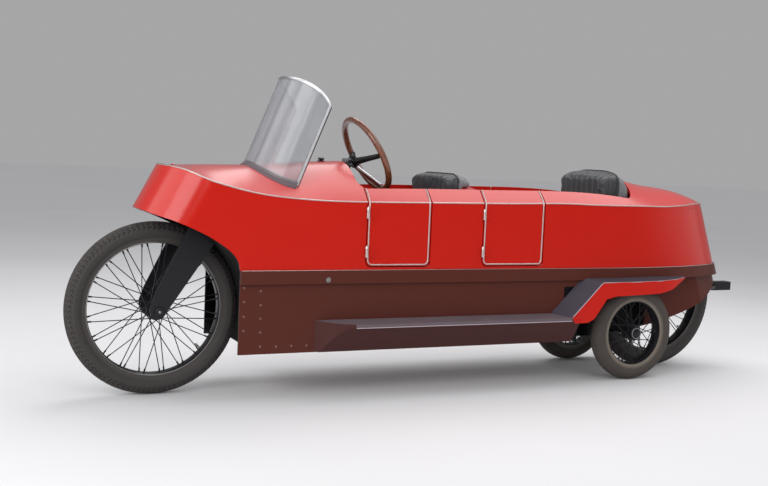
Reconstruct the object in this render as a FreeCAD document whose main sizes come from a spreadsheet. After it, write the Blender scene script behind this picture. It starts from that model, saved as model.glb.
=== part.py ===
import FreeCAD, Part
import math
import os
import re
import Sketcher
from FreeCAD import Placement, Rotation, Vector

# Tandem family car with a boat-shaped body, built in millimetres.
# X points forward, Y to the car's left and Z up.
# The origin is on the ground, halfway along the car and on its centre line.

# Sizes
SIZES = [
    ("overall_length", 3410, "front tyre to rear hitch block"),
    ("wheelbase", 2556, "front axle to rear axle"),
    ("wheel_radius", 355, "large wheel, over the tyre"),
    ("tyre_section_radius", 40, "large tyre, half its width"),
    ("rim_radius", 280, "large rim, outside"),
    ("rim_depth", 13, "large rim, radial"),
    ("rim_half_width", 28, "large rim"),
    ("hub_radius", 22, "large hub barrel"),
    ("hub_half_width", 90, "large hub"),
    ("flange_radius", 42, "large hub flange"),
    ("flange_half_gap", 58, "large hub flange from the wheel's middle"),
    ("flange_width", 6, "hub flange"),
    ("axle_radius", 9, "large wheel axles"),
    ("bore_clearance", 0.05, "running fit, radial"),
    ("spoke_radius", 2, "all spokes"),
    ("spoke_groups", 10, "large wheels, four spokes each"),
    ("side_wheel_radius", 225, "small wheel, over the tyre"),
    ("side_tyre_section_radius", 37, "small tyre, half its width"),
    ("side_rim_radius", 156, "small rim, outside"),
    ("side_rim_depth", 12, "small rim, radial"),
    ("side_rim_half_width", 27, "small rim"),
    ("side_hub_radius", 24, "small hub barrel"),
    ("side_hub_half_width", 32, "small hub"),
    ("side_flange_radius", 38, "small hub flange"),
    ("side_flange_half_gap", 22, "small hub flange from the wheel's middle"),
    ("side_axle_radius", 10, "small wheel axles"),
    ("side_spoke_groups", 8, "small wheels, four spokes each"),
    ("side_wheel_setback", 2235, "small axle behind the front axle"),
    ("side_half_track", 250, "small wheel's middle from the centre line"),
    ("body_half_width", 262, "body skin"),
    ("wall_thickness", 18, "body wall and doors"),
    ("nose_round_length", 200, "rounding of the nose in plan"),
    ("nose_overhang", -9, "nose tip ahead of the front axle at nose height"),
    ("nose_height", 946, "top edge of the nose"),
    ("nose_slope", 0.525, "forward lean of the nose per mm down"),
    ("tail_round_length", 880, "rounding of the tail in plan"),
    ("tail_setback", 2912, "tail tip behind the front axle at sill height"),
    ("tail_slope", 0.36, "forward lean of the tail per mm up"),
    ("sill_height", 535, "top of the sill band"),
    ("sill_depth", 55, "sill band"),
    ("sill_overhang", 8, "sill band outside the skin"),
    ("belt_height", 826, "belt line at mid length"),
    ("tub_inset", 6, "lower tub inside the skin"),
    ("tub_wall", 8, "lower tub sheet"),
    ("tub_bottom", 195, "underside of the lower tub"),
    ("tub_front_setback", 285, "tub sides behind the front axle"),
    ("tub_length", 1635, "tub sides, full width part"),
    ("floor_front_setback", 370, "tub floor behind the front axle"),
    ("tail_box_half_width", 165, "narrow part of the tub beside the rear wheel"),
    ("tail_box_roof", 510, "roof of the small wheel recess"),
    ("tail_box_floor_length", 270, "floor under the engine"),
    ("cockpit_half_width", 215, "cockpit opening"),
    ("cockpit_front_setback", 800, "cowl edge behind the front axle"),
    ("bridge_setback", 1312.3, "deck bridge behind the front axle"),
    ("bridge_length", 60, "deck bridge"),
    ("bridge_height", 879, "deck bridge at its ends"),
    ("bridge_rise", 20, "arch of the deck bridge"),
    ("bridge_thickness", 14, "deck bridge"),
    ("cockpit_end_setback", 2195, "where the cockpit's rear rounding starts"),
    ("cockpit_end_round", 75, "rear rounding of the cockpit"),
    ("cockpit_corner_radius", 45, "corners of the cockpit openings"),
    ("door_gap", 5, "gap round each door"),
    ("door_bottom", 551, "lower edge of the doors"),
    ("door_corner_radius", 22, "lower corners of the doors"),
    ("front_door_setback", 825, "front door hinge behind the front axle"),
    ("front_door_reach", 298, "front door from its hinge"),
    ("rear_door_setback", 1385, "rear door hinge behind the front axle"),
    ("rear_door_reach", 315, "rear door from its hinge"),
    ("hinge_radius", 6.5, "hinge barrel"),
    ("hinge_offset", 7, "hinge pin outside the skin"),
    ("hinge_length", 46, "hinge barrel"),
    ("hinge_low", 588, "lower hinge barrel"),
    ("hinge_high", 752, "upper hinge barrel"),
    ("fork_rake", 26, "steering axis from the vertical, degrees"),
    ("fork_inner_half_width", 100, "between the fork blades"),
    ("fork_blade_thickness", 8, "fork blade"),
    ("fork_crown_reach", 385, "underside of the fork crown from the axle"),
    ("fork_crown_thickness", 25, "fork crown"),
    ("fork_front_depth", 49, "fork blade ahead of the steering axis"),
    ("fork_rear_depth", 85, "top of the fork blade behind the axis"),
    ("fork_stem_radius", 15, "fork stem"),
    ("fork_stem_length", 170, "fork stem"),
    ("head_radius", 29, "steering head"),
    ("head_start", 452, "steering head from the axle"),
    ("head_length", 120, "steering head"),
    ("inner_gap", 0.5, "between fitted panels"),
    ("housing_radius", 395, "front wheel housing about the axle"),
    ("housing_sheet", 5, "front wheel housing"),
    ("housing_first_angle", 140, "front end of the housing, degrees"),
    ("housing_last_angle", 203, "rear end of the housing, degrees"),
    ("housing_plate_top", 800, "top of the housing's upright plate"),
    ("dash_setback", 790, "dash panel behind the front axle"),
    ("dash_thickness", 10, "dash panel"),
    ("dash_bottom", 640, "lower edge of the dash panel"),
    ("steering_setback", 925, "steering wheel centre behind the front axle"),
    ("steering_height", 1016, "steering wheel centre"),
    ("steering_tilt", 28.7, "steering column below the horizontal, degrees"),
    ("steering_radius", 168, "steering rim, to the middle of the rim"),
    ("steering_rim_radius", 14, "steering rim section"),
    ("steering_dish", 60, "hub ahead of the rim"),
    ("steering_hub_radius", 24, "steering hub"),
    ("steering_hub_length", 24, "steering hub"),
    ("steering_shaft_radius", 8, "steering shaft"),
    ("column_radius", 15, "steering column"),
    ("column_start", 88, "column from the rim plane"),
    ("column_length", 320, "steering column"),
    ("screen_setback", 322.5, "windscreen foot behind the front axle, middle"),
    ("screen_sweep", 183.5, "windscreen sides behind its middle"),
    ("screen_half_width", 210, "windscreen"),
    ("screen_rake", 22, "windscreen from the vertical, degrees"),
    ("screen_round", 228, "rounding of the windscreen's top in side view"),
    ("screen_round_setback", 459.2, "middle of that rounding behind the front axle"),
    ("screen_round_height", 1105.2, "middle of that rounding"),
    ("screen_foot", 18, "lower channel of the windscreen frame"),
    ("screen_edge", 8, "side and top of the windscreen frame"),
    ("screen_frame_thickness", 12, "windscreen frame"),
    ("glass_thickness", 5, "windscreen pane"),
    ("board_width", 90, "running board outside the tub"),
    ("board_top", 328, "top of the running board at the tub"),
    ("board_front_setback", 610, "tip of the running board"),
    ("board_tip_length", 150, "tapered tip of the running board"),
    ("fender_setback", 1775, "foot of the fender's sloping face"),
    ("fender_top", 492, "top of the fender"),
    ("fender_length", 755, "fender"),
    ("fender_slope_length", 160, "sloping face of the fender"),
    ("fender_sweep", 52, "fender's outer edge behind its inner edge"),
    ("fender_drop", 14, "fender's outer edge below its inner edge"),
    ("fender_sheet", 7, "fender sheet"),
    ("seat_half_width", 195, "seats"),
    ("seat_back_thickness", 80, "seat backs"),
    ("front_back_overhang", 60, "front backrest over the bridge"),
    ("front_overhang_low", 905, "underside of that overhang"),
    ("rear_back_overhang", 100, "rear backrest over the plate"),
    ("rear_overhang_low", 820, "underside of that overhang"),
    ("front_cushion_thickness", 120, "front cushion"),
    ("rear_cushion_thickness", 95, "rear cushion"),
    ("seat_box_height", 85, "box under the front cushion"),
    ("seat_board_thickness", 12, "board under the rear cushion"),
    ("seat_round", 24, "edges of the seats"),
    ("floor_thickness", 14, "floor boards"),
    ("front_seat_setback", 1232, "face of the front backrest"),
    ("front_seat_top", 946, "top of the front backrest"),
    ("front_cushion_length", 330, "front cushion"),
    ("rear_seat_setback", 2066, "face of the rear backrest"),
    ("rear_seat_top", 986, "top of the rear backrest"),
    ("rear_cushion_length", 360, "rear cushion"),
    ("bulkhead_setback", 2164, "plate behind the rear seat"),
    ("bulkhead_thickness", 8, "plate behind the rear seat"),
    ("engine_length", 185, "engine block"),
    ("engine_width", 240, "engine block"),
    ("engine_height", 290, "engine block"),
    ("engine_setback", 1945, "front of the engine block"),
    ("carrier_leg_thickness", 8, "rear wheel carrier legs"),
    ("carrier_leg_height", 44, "rear wheel carrier legs"),
    ("carrier_tube_radius", 14, "rear carrier cross tube"),
    ("carrier_tube_setback", 2178, "rear carrier cross tube"),
    ("arm_thickness", 12, "small wheel arm"),
    ("arm_height", 46, "small wheel arm"),
    ("arm_boss_radius", 30, "small wheel arm pivot boss"),
    ("arm_pivot_setback", 1990, "small wheel arm pivot"),
    ("arm_pivot_height", 330, "small wheel arm pivot"),
    ("hitch_height", 406, "middle of the rear hitch"),
    ("hitch_bar_half_gap", 52, "hitch cross bar's inner corners from the centre line"),
    ("hitch_mount_half_width", 133.8, "hitch side bars where they meet the tail box"),
    ("hitch_bar_thickness", 8, "hitch side bars"),
    ("hitch_bar_height", 16, "hitch side bars"),
    ("hitch_block_length", 84, "hitch block"),
    ("hitch_block_width", 50, "hitch block"),
    ("hitch_block_height", 44, "hitch block"),
    ("hitch_pin_radius", 8, "hole in the hitch block"),
]

# Curve tables
# Crown: distance behind the front axle, belt height and rise of the deck,
# as shares of the overall length and of the belt height.
CROWN_SHARES = [
    (-0.1000, 1.3000, 0.0000),
    (-0.0400, 1.1850, 0.0000),
    (-0.0059, 1.1445, 0.0005),
    (0.0147, 1.1175, 0.0210),
    (0.0323, 1.0920, 0.0500),
    (0.0551, 1.0655, 0.0810),
    (0.1026, 1.0220, 0.1300),
    (0.1554, 1.0000, 0.1650),
    (0.1906, 0.9935, 0.1860),
    (0.2375, 0.9920, 0.1990),
    (0.3226, 0.9950, 0.2130),
    (0.4399, 1.0000, 0.2110),
    (0.5572, 1.0055, 0.1980),
    (0.6452, 0.9850, 0.1810),
    (0.7067, 0.9510, 0.1670),
    (0.7537, 0.9080, 0.1890),
    (0.7947, 0.8650, 0.1920),
    (0.8211, 0.8350, 0.1800),
    (0.8600, 0.7900, 0.1550),
    (0.9200, 0.7200, 0.1200),
]
# Lower edge of the nose: the same two shares, from the front end back.
NOSE_EDGE_SHARES = [
    (-0.0880, 1.0080),
    (-0.0252, 0.9264),
    (-0.0129, 0.9070),
    (0.0027, 0.8866),
    (0.0207, 0.8575),
    (0.0409, 0.8201),
    (0.0587, 0.7774),
    (0.0727, 0.7334),
    (0.0799, 0.6944),
    (0.0830, 0.6477),
]
# Upswept lower edge of the tail box, from the tub back.
TAIL_EDGE_SHARES = [
    (0.5600, 0.2361),
    (0.6012, 0.2430),
    (0.6745, 0.2730),
    (0.7331, 0.3200),
    (0.7977, 0.4120),
    (0.8387, 0.5080),
    (0.8680, 0.6100),
]
# Lower edge of the fender's skirt: shares of the fender's length and of its top height.
SKIRT_EDGE_SHARES = [
    (0.0000, 0.6634),
    (0.0230, 0.6234),
    (0.1136, 0.6264),
    (0.1587, 0.6585),
    (0.2000, 0.7440),
    (0.2444, 0.8415),
    (0.3188, 0.8680),
    (0.4780, 0.8734),
    (0.6790, 0.8780),
    (0.7990, 0.9040),
    (0.9045, 0.9655),
]
# Outer edge of the fender in plan: shares of its length and of the board's width.
FENDER_PLAN_SHARES = [
    (0.0000, 1.0000),
    (0.3130, 1.0000),
    (0.5470, 0.9700),
    (0.7380, 0.8400),
    (0.8830, 0.6000),
    (1.0000, 0.1700),
]

doc = FreeCAD.newDocument("Car")
sheet = doc.addObject("Spreadsheet::Sheet", "Sizes")
for row, (name, value, note) in enumerate(SIZES, 1):
    sheet.set("A%d" % row, name)
    sheet.set("B%d" % row, str(value))
    sheet.set("C%d" % row, note)
    sheet.setAlias("B%d" % row, name)
doc.recompute()
NAMES = {name for name, value, note in SIZES}
size = {name: float(sheet.get(name)) for name in NAMES}

FRONT_AXLE = "(overall_length / 2 - wheel_radius)"
front_x = size["overall_length"] / 2 - size["wheel_radius"]
BIG = 2 * size["overall_length"]


def bind(text):
    """Point every size named in an expression at the sheet."""
    def point(found):
        word = found.group(0)
        return "Sizes." + word if word in NAMES else word
    return re.sub(r"[a-z][a-z_]*", point, text)


def number(text):
    """Value of an expression in millimetres or degrees."""
    result = sheet.evalExpression(bind(text))
    return float(getattr(result, "Value", result))


def behind(distance):
    """X of a point this far behind the front axle."""
    return front_x - distance


def station(share):
    """X of a share of the overall length behind the front axle."""
    return behind(share * size["overall_length"])


def level(share):
    """Z of a share of the belt height."""
    return share * size["belt_height"]


class Piece:
    """One sub-part made of sketched features in a body of its own."""

    def __init__(self, label):
        self.body = doc.addObject("PartDesign::Body", label)
        self.body.Label = label
        self.planes = {item.Role: item for item in self.body.Origin.OriginFeatures}
        self.count = 0

    def title(self, kind):
        self.count += 1
        return "%s_%s_%d" % (self.body.Label, kind, self.count)

    def sketch(self, plane, offset="0"):
        made = self.body.newObject("Sketcher::SketchObject", self.title("sketch"))
        made.AttachmentSupport = [(self.planes[plane], "")]
        made.MapMode = "FlatFace"
        made.setExpression("AttachmentOffset.Base.z", bind(offset))
        return made

    def polygon(self, made, points):
        spots = [Vector(number(across), number(upward), 0) for across, upward in points]
        first = made.GeometryCount
        total = len(spots)
        for index in range(total):
            made.addGeometry(Part.LineSegment(spots[index], spots[(index + 1) % total]), False)
        for index, (across, upward) in enumerate(points):
            here = first + index
            made.addConstraint(Sketcher.Constraint(
                "Coincident", here, 2, first + (index + 1) % total, 1))
            for kind, text, value in (("DistanceX", across, spots[index].x),
                                      ("DistanceY", upward, spots[index].y)):
                spot = made.addConstraint(Sketcher.Constraint(kind, -1, 1, here, 1, value))
                made.setExpression("Constraints[%d]" % spot, bind(text))

    def circle(self, made, across, upward, radius):
        middle = Vector(number(across), number(upward), 0)
        here = made.addGeometry(Part.Circle(middle, Vector(0, 0, 1), number(radius)), False)
        for kind, text, value in (("DistanceX", across, middle.x), ("DistanceY", upward, middle.y)):
            spot = made.addConstraint(Sketcher.Constraint(kind, -1, 1, here, 3, value))
            made.setExpression("Constraints[%d]" % spot, bind(text))
        spot = made.addConstraint(Sketcher.Constraint("Radius", here, number(radius)))
        made.setExpression("Constraints[%d]" % spot, bind(radius))

    def pad(self, made, length, both=False, back=False, cut=False):
        kind = "PartDesign::Pocket" if cut else "PartDesign::Pad"
        feature = self.body.newObject(kind, self.title("cut" if cut else "pad"))
        feature.Profile = made
        feature.setExpression("Length", bind(length))
        feature.SideType = "Symmetric" if both else "One side"
        feature.Reversed = back
        made.Visibility = False
        self.body.Tip = feature
        return feature

    def revolve(self, made, axis):
        feature = self.body.newObject("PartDesign::Revolution", self.title("turn"))
        feature.Profile = made
        feature.ReferenceAxis = (made, [axis])
        feature.Angle = 360
        self.body.Tip = feature
        return feature

    def rod(self, radius, start, end):
        feature = self.body.newObject("PartDesign::AdditiveCylinder", self.title("rod"))
        feature.setExpression("Radius", bind(radius))
        feature.Height = (end - start).Length
        feature.Placement = Placement(start, Rotation(Vector(0, 0, 1), end - start))
        self.body.Tip = feature
        return feature

    def repeat(self, features, axis, count):
        feature = self.body.newObject("PartDesign::PolarPattern", self.title("ring"))
        feature.Originals = features
        feature.Axis = (self.planes[axis], [""])
        feature.Angle = 360
        feature.setExpression("Occurrences", bind(count))
        self.body.Tip = feature
        return feature

    def place(self, across, upward, sideways="0", rotation=None):
        """Move the piece: distance behind the front axle, height, sideways."""
        self.body.Placement = Placement(Vector(0, 0, 0), rotation or Rotation())
        self.body.setExpression("Placement.Base.x", bind(FRONT_AXLE + " - (" + across + ")"))
        self.body.setExpression("Placement.Base.y", bind(sideways))
        self.body.setExpression("Placement.Base.z", bind(upward))
        finished.append(self.body)
        return self.body


finished = []


def shaped(label, shape):
    """Sub-part whose surfaces are worked out from the sheet."""
    solids = shape.Solids
    made = doc.addObject("Part::Feature", label)
    made.Label = label
    made.Shape = solids[0] if len(solids) == 1 else Part.makeCompound(solids)
    made.Placement = Placement(Vector(0, 0, 0), Rotation())
    finished.append(made)
    return made


def mirrored(label, source):
    """Right-hand twin of a left-hand sub-part."""
    made = doc.addObject("Part::Mirroring", label)
    made.Label = label
    made.Source = source
    made.Normal = Vector(0, 1, 0)
    finished.append(made)
    return made


# Body surfaces
def half_round(middle, reach, half_width, height):
    """Half ellipse in plan from one side round to the other."""
    side = Vector(middle, half_width, height)
    tip = Vector(middle + reach, 0, height)
    centre = Vector(middle, 0, height)
    if abs(reach) > half_width:
        curve = Part.Ellipse(tip, side, centre)
        return Part.Arc(curve, -math.pi / 2, math.pi / 2).toShape()
    curve = Part.Ellipse(side, tip, centre)
    return Part.Arc(curve, 0, math.pi).toShape()


def outline(height, inset):
    """Plan outline of the body at one height."""
    half = size["body_half_width"] - inset
    nose = size["nose_overhang"] + size["nose_slope"] * (size["nose_height"] - height)
    nose_middle = front_x + nose - size["nose_round_length"]
    tail = size["tail_setback"] - size["tail_slope"] * (height - size["sill_height"])
    tail_middle = front_x - tail + size["tail_round_length"]
    front = half_round(nose_middle, size["nose_round_length"] - inset, half, height)
    back = half_round(tail_middle, inset - size["tail_round_length"], half, height)
    right = Part.makeLine(Vector(nose_middle, -half, height), Vector(tail_middle, -half, height))
    left = Part.makeLine(Vector(tail_middle, half, height), Vector(nose_middle, half, height))
    return Part.Wire(Part.__sortEdges__([front, right, back, left]))


def hull(inset, low, high):
    """Body outline as a solid between two heights."""
    return Part.makeLoft([outline(low, inset), outline(high, inset)], True, True)


def crown(drop):
    """Everything under the deck surface, lowered by a distance."""
    half = size["body_half_width"]
    grid = []
    for share, belt, rise in CROWN_SHARES:
        line = []
        for step in range(-4, 5):
            across = step / 4.0 * 1.14
            height = level(belt) + level(rise) * (1 - across ** 2) - drop
            line.append(Vector(station(share), across * half, height))
        grid.append(line)
    surface = Part.BSplineSurface()
    surface.interpolate(grid)
    return surface.toShape().extrude(Vector(0, 0, -0.9 * size["belt_height"]))


def block(low, high):
    """Box between two corners."""
    return Part.makeBox(high[0] - low[0], high[1] - low[1], high[2] - low[2], Vector(*low))


def spline(points):
    curve = Part.BSplineCurve()
    curve.interpolate(points)
    return curve.toShape()


def closed_prism(edges, direction):
    """Solid swept from a closed flat outline."""
    wire = Part.Wire(Part.__sortEdges__(edges))
    return Part.Face(wire).extrude(direction)


def chain(points):
    """Straight edges through a list of points."""
    return [Part.makeLine(points[i], points[i + 1]) for i in range(len(points) - 1)]


def above_edge(table, bottom_share):
    """Everything above a lower edge given in shares, over the full width."""
    wide = size["overall_length"] / 4
    line = [Vector(station(share), -wide, level(height)) for share, height in table]
    start, end = line[0], line[-1]
    top = level(bottom_share)
    back = station(0.95)
    edges = [spline(line)]
    edges += chain([end, Vector(back, -wide, end.z), Vector(back, -wide, top),
                    Vector(start.x, -wide, top), start])
    return closed_prism(edges, Vector(0, 2 * wide, 0))


def rounded_corners(points, radius):
    """Edges of a polygon with its inner corners rounded, as an open chain."""
    edges = []
    here = points[0]
    for index in range(1, len(points) - 1):
        corner = points[index]
        before = (corner - here).normalize()
        after = (points[index + 1] - corner).normalize()
        first = corner - before * radius
        last = corner + after * radius
        middle = corner + (after - before) * radius - (after - before) * radius * math.sqrt(0.5)
        edges.append(Part.makeLine(here, first))
        edges.append(Part.Arc(first, middle, last).toShape())
        here = last
    edges.append(Part.makeLine(here, points[-1]))
    return edges


thick = size["wall_thickness"]
skin_low = 0.5 * size["sill_height"]
skin_high = 1.35 * size["belt_height"]
outer_hull = hull(0, skin_low, skin_high)
inner_hull = hull(thick, skin_low, skin_high)
split_hull = hull(thick / 3, skin_low, skin_high)
top_surface = crown(0)
under_surface = crown(thick)
edge_prism = above_edge(NOSE_EDGE_SHARES, 1.5)
shell = outer_hull.common(edge_prism).common(top_surface)
shell = shell.cut(inner_hull.common(under_surface))

# Cockpit openings
opening_low = 0.8 * size["belt_height"]
opening_rise = Vector(0, 0, size["belt_height"])
half = size["cockpit_half_width"]
corner = size["cockpit_corner_radius"]
bridge_back = behind(size["bridge_setback"] + size["bridge_length"])
cowl_x = behind(size["cockpit_front_setback"])
end_x = behind(size["cockpit_end_setback"])


def plan(x, y):
    return Vector(x, y, opening_low)


opening_edges = rounded_corners([
    plan(end_x, -half), plan(cowl_x, -half), plan(cowl_x, half), plan(end_x, half)], corner)
opening_edges.append(half_round(end_x, -size["cockpit_end_round"], half, opening_low))
shell = shell.cut(closed_prism(opening_edges, opening_rise))

# Bridge across the cockpit behind the front seat
arch_low = size["bridge_height"]
arch_top = arch_low + size["bridge_rise"]
arch_sheet = size["bridge_thickness"]
arch_edges = [
    Part.Arc(Vector(bridge_back, -half, arch_low), Vector(bridge_back, 0, arch_top),
             Vector(bridge_back, half, arch_low)).toShape(),
    Part.makeLine(Vector(bridge_back, half, arch_low),
                  Vector(bridge_back, half, arch_low - arch_sheet)),
    Part.Arc(Vector(bridge_back, half, arch_low - arch_sheet),
             Vector(bridge_back, 0, arch_top - arch_sheet),
             Vector(bridge_back, -half, arch_low - arch_sheet)).toShape(),
    Part.makeLine(Vector(bridge_back, -half, arch_low - arch_sheet),
                  Vector(bridge_back, -half, arch_low))]
bridge = closed_prism(arch_edges, Vector(size["bridge_length"], 0, 0))

# Doors and their openings
hinge_y = size["body_half_width"] + size["hinge_offset"]


def door_region(setback, reach, grow):
    """Space of one left door, or of its opening when grown."""
    hinge_x = behind(setback)
    front = hinge_x - size["door_gap"] / 2 + grow
    back = hinge_x - reach - 2 * grow
    low = size["door_bottom"] - grow
    high = skin_high
    near = size["cockpit_half_width"] - 4 * thick
    points = [Vector(front, near, high), Vector(front, near, low),
              Vector(back, near, low), Vector(back, near, high)]
    edges = rounded_corners(points, size["door_corner_radius"] + grow)
    edges.append(Part.makeLine(points[-1], points[0]))
    region = closed_prism(edges, Vector(0, size["body_half_width"], 0))
    sweep = Part.makeCylinder(reach + grow, high, Vector(hinge_x, hinge_y, 0))
    return region.common(sweep)


def door(label, setback, reach):
    """Left door: side, deck strip and hinge barrels."""
    panel = shell.common(door_region(setback, reach, 0))
    hinge_x = behind(setback)
    for start in (size["hinge_low"], size["hinge_high"]):
        radius = size["hinge_radius"]
        barrel = Part.makeCylinder(radius, size["hinge_length"], Vector(hinge_x, hinge_y, start))
        leaf = block((hinge_x - 6 * radius, size["body_half_width"] - 1, start),
                     (hinge_x - size["door_gap"] / 2, hinge_y - radius / 2,
                      start + size["hinge_length"]))
        panel = panel.fuse(leaf).fuse(barrel)
    return shaped(label, panel.removeSplitter())


doors = [("front_door", size["front_door_setback"], size["front_door_reach"]),
         ("rear_door", size["rear_door_setback"], size["rear_door_reach"])]
fixed = shell
for title, setback, reach in doors:
    space = door_region(setback, reach, size["door_gap"])
    fixed = fixed.cut(space).cut(space.mirror(Vector(0, 0, 0), Vector(0, 1, 0)))

# Fixed panels
front_cut = behind(size["front_door_setback"]) + size["door_gap"] / 2
rear_cut = behind(size["rear_door_setback"] + size["rear_door_reach"] + size["door_gap"])
wide = size["overall_length"] / 2
ahead = block((front_cut, -wide, 0), (front_cut + BIG, wide, BIG))
aft = block((rear_cut - BIG, -wide, 0), (rear_cut, wide, BIG))
deck_space = split_hull.cut(under_surface)
front_fixed = fixed.common(ahead)
rear_fixed = fixed.common(aft)
shaped("bonnet", front_fixed.common(deck_space))
shaped("front_shell", front_fixed.cut(deck_space))
shaped("centre_panels", fixed.cut(ahead).cut(aft).fuse(bridge))
shaped("rear_deck", rear_fixed.common(deck_space))
shaped("rear_shell", rear_fixed.cut(deck_space))
for title, setback, reach in doors:
    left_door = door("left_" + title, setback, reach)
    mirrored("right_" + title, left_door)

# Sill band
band_low = size["sill_height"] - size["sill_depth"]
band = hull(-size["sill_overhang"], band_low, size["sill_height"])
band = band.cut(hull(thick, band_low - 1, size["sill_height"] + 1))
tub_front = behind(size["tub_front_setback"])
band_space = block((tub_front - BIG, -wide, 0), (tub_front, wide, BIG))
shaped("sill_band", band.common(band_space))

# Lower tub
tub_half = size["body_half_width"] - size["tub_inset"]
tub_back = tub_front - size["tub_length"]
floor_x = behind(size["floor_front_setback"])
sheet_t = size["tub_wall"]
bottom = size["tub_bottom"]
tub = block((tub_back, -tub_half, bottom), (tub_front, tub_half, band_low))
tub = tub.cut(block((tub_back + sheet_t, sheet_t - tub_half, bottom + sheet_t),
                    (tub_front + 1, tub_half - sheet_t, band_low + 1)))
tub = tub.cut(block((floor_x, sheet_t - tub_half, 0), (tub_front + 1, tub_half - sheet_t, BIG)))
box_half = size["tail_box_half_width"]
roof = size["tail_box_roof"]
tail_hull = hull(thick + size["inner_gap"], bottom - 60, roof)
tail_edge = above_edge(TAIL_EDGE_SHARES, 1.0)
tail_space = block((tub_back - BIG, -box_half, 0), (tub_back, box_half, roof))
tail = tail_hull.common(tail_space).common(tail_edge)
tail_inner = hull(thick + sheet_t, bottom - 61, roof + 1)
hollow = block((tub_back - BIG, sheet_t - box_half, bottom + sheet_t),
               (tub_back - sheet_t / 2, box_half - sheet_t, roof + 1))
well_x = tub_back - size["tail_box_floor_length"]
hollow = hollow.fuse(block((well_x - BIG, sheet_t - box_half, 0),
                           (well_x, box_half - sheet_t, roof + 1)))
tail = tail.cut(hollow.common(tail_inner))
shelf = tail_hull.common(block((tub_back - BIG, -wide, roof - sheet_t), (tub_back, wide, roof)))
shelf = shelf.cut(block((tub_back - BIG, sheet_t - box_half, 0),
                        (tub_back + 1, box_half - sheet_t, BIG)))
wall = block((tub_back, -tub_half + thick, band_low - sheet_t),
             (tub_back + sheet_t, tub_half - thick, roof))
shaped("lower_tub", tub.fuse(tail).fuse(shelf).fuse(wall).removeSplitter())

# Windscreen
rake = math.radians(size["screen_rake"])
lean = Vector(-math.sin(rake), 0, math.cos(rake))
screen_x = behind(size["screen_setback"])


def bent_sheet(inset, thickness, start, end):
    """Bent sheet short of the sides, swept along the rake between two lengths."""
    sweep = size["screen_sweep"]
    full = size["screen_half_width"]
    bend = (full ** 2 + sweep ** 2) / (2 * sweep)
    angle = math.asin(full / bend) - inset / bend
    middle = screen_x - bend
    base = size["belt_height"]

    def spot(radius, turn):
        return Vector(middle + radius * math.cos(turn), radius * math.sin(turn), base)
    outside = bend + thickness / 2
    inside = bend - thickness / 2
    edges = [Part.Arc(spot(outside, -angle), spot(outside, 0), spot(outside, angle)).toShape(),
             Part.makeLine(spot(outside, angle), spot(inside, angle)),
             Part.Arc(spot(inside, angle), spot(inside, 0), spot(inside, -angle)).toShape(),
             Part.makeLine(spot(inside, -angle), spot(outside, -angle))]
    sheet_solid = closed_prism(edges, lean * (end - start))
    sheet_solid.translate(lean * start)
    return sheet_solid


def deck_lifted(distance):
    """Everything under the deck once moved up along the rake."""
    moved = top_surface.copy()
    moved.translate(lean * distance)
    return moved


def under_top(inset):
    """Everything within the windscreen's rounded top in side view."""
    level_way = Vector(math.cos(rake), 0, math.sin(rake))
    centre = Vector(behind(size["screen_round_setback"]), -wide, size["screen_round_height"])
    radius = size["screen_round"] - inset
    rear = centre - level_way * radius
    peak = centre + lean * radius
    between = centre + (lean - level_way) * (radius * math.sqrt(0.5))
    ahead = peak + level_way * wide
    edges = [Part.Arc(rear, between, peak).toShape()]
    edges += chain([peak, ahead, ahead - lean * wide, rear - lean * (wide - radius), rear])
    return closed_prism(edges, Vector(0, 2 * wide, 0))


reach_up = 4 * size["screen_round"]
foot = size["screen_foot"]
edge = size["screen_edge"]
clear = size["inner_gap"] / 2
frame_sheet = bent_sheet(0, size["screen_frame_thickness"], -reach_up / 4, reach_up)
window_sheet = bent_sheet(edge, 3 * size["screen_frame_thickness"], -reach_up / 4, reach_up)
frame = frame_sheet.common(under_top(0)).cut(deck_lifted(0))
window = window_sheet.common(under_top(edge)).cut(deck_lifted(foot))
shaped("windscreen_frame", frame.cut(window))
pane = bent_sheet(edge + clear, size["glass_thickness"], -reach_up / 4, reach_up)
pane = pane.common(under_top(edge + clear)).cut(deck_lifted(foot + clear))
shaped("windscreen_glass", pane)

# Dash panel
dash_x = behind(size["dash_setback"])
dash_half = size["body_half_width"] - thick - size["inner_gap"]
dash = block((dash_x - size["dash_thickness"], -dash_half, size["dash_bottom"]),
             (dash_x, dash_half, BIG))
tilt = math.radians(size["steering_tilt"])
column_way = Vector(math.cos(tilt), 0, -math.sin(tilt))
wheel_spot = Vector(behind(size["steering_setback"]), 0, size["steering_height"])
column_hole = Part.makeCylinder(size["column_radius"], size["column_length"] * 2,
                                wheel_spot, column_way)
shaped("dash_panel", dash.common(under_surface).cut(column_hole))

# Running board
board = Piece("left_running_board")
inner = "(body_half_width - tub_inset)"
lines = board.sketch("YZ_Plane", FRONT_AXLE + " - fender_setback - board_front_setback / 6")
board.polygon(lines, [
    (inner, "tub_bottom + 2"), (inner + " + board_width * 0.2", "tub_bottom + 2"),
    (inner + " + board_width * 0.93", "board_top - 26"),
    (inner + " + board_width", "board_top - 16"), (inner + " + board_width", "board_top - 8"),
    (inner, "board_top")])
board.pad(lines, "fender_setback + board_front_setback / 6 - board_front_setback")
tip = board.sketch("XY_Plane")
nose_x = FRONT_AXLE + " - board_front_setback"
board.polygon(tip, [
    (nose_x + " + 5", inner), (nose_x, inner),
    (nose_x + " - board_tip_length * 0.2", inner + " + board_width * 0.36"),
    (nose_x + " - board_tip_length * 0.45", inner + " + board_width * 0.68"),
    (nose_x + " - board_tip_length * 0.72", inner + " + board_width * 0.9"),
    (nose_x + " - board_tip_length", inner + " + board_width"),
    (nose_x + " - board_tip_length", inner + " + board_width + 10"),
    (nose_x + " + 5", inner + " + board_width + 10")])
board.pad(tip, "board_top + 10", cut=True, back=True)
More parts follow.
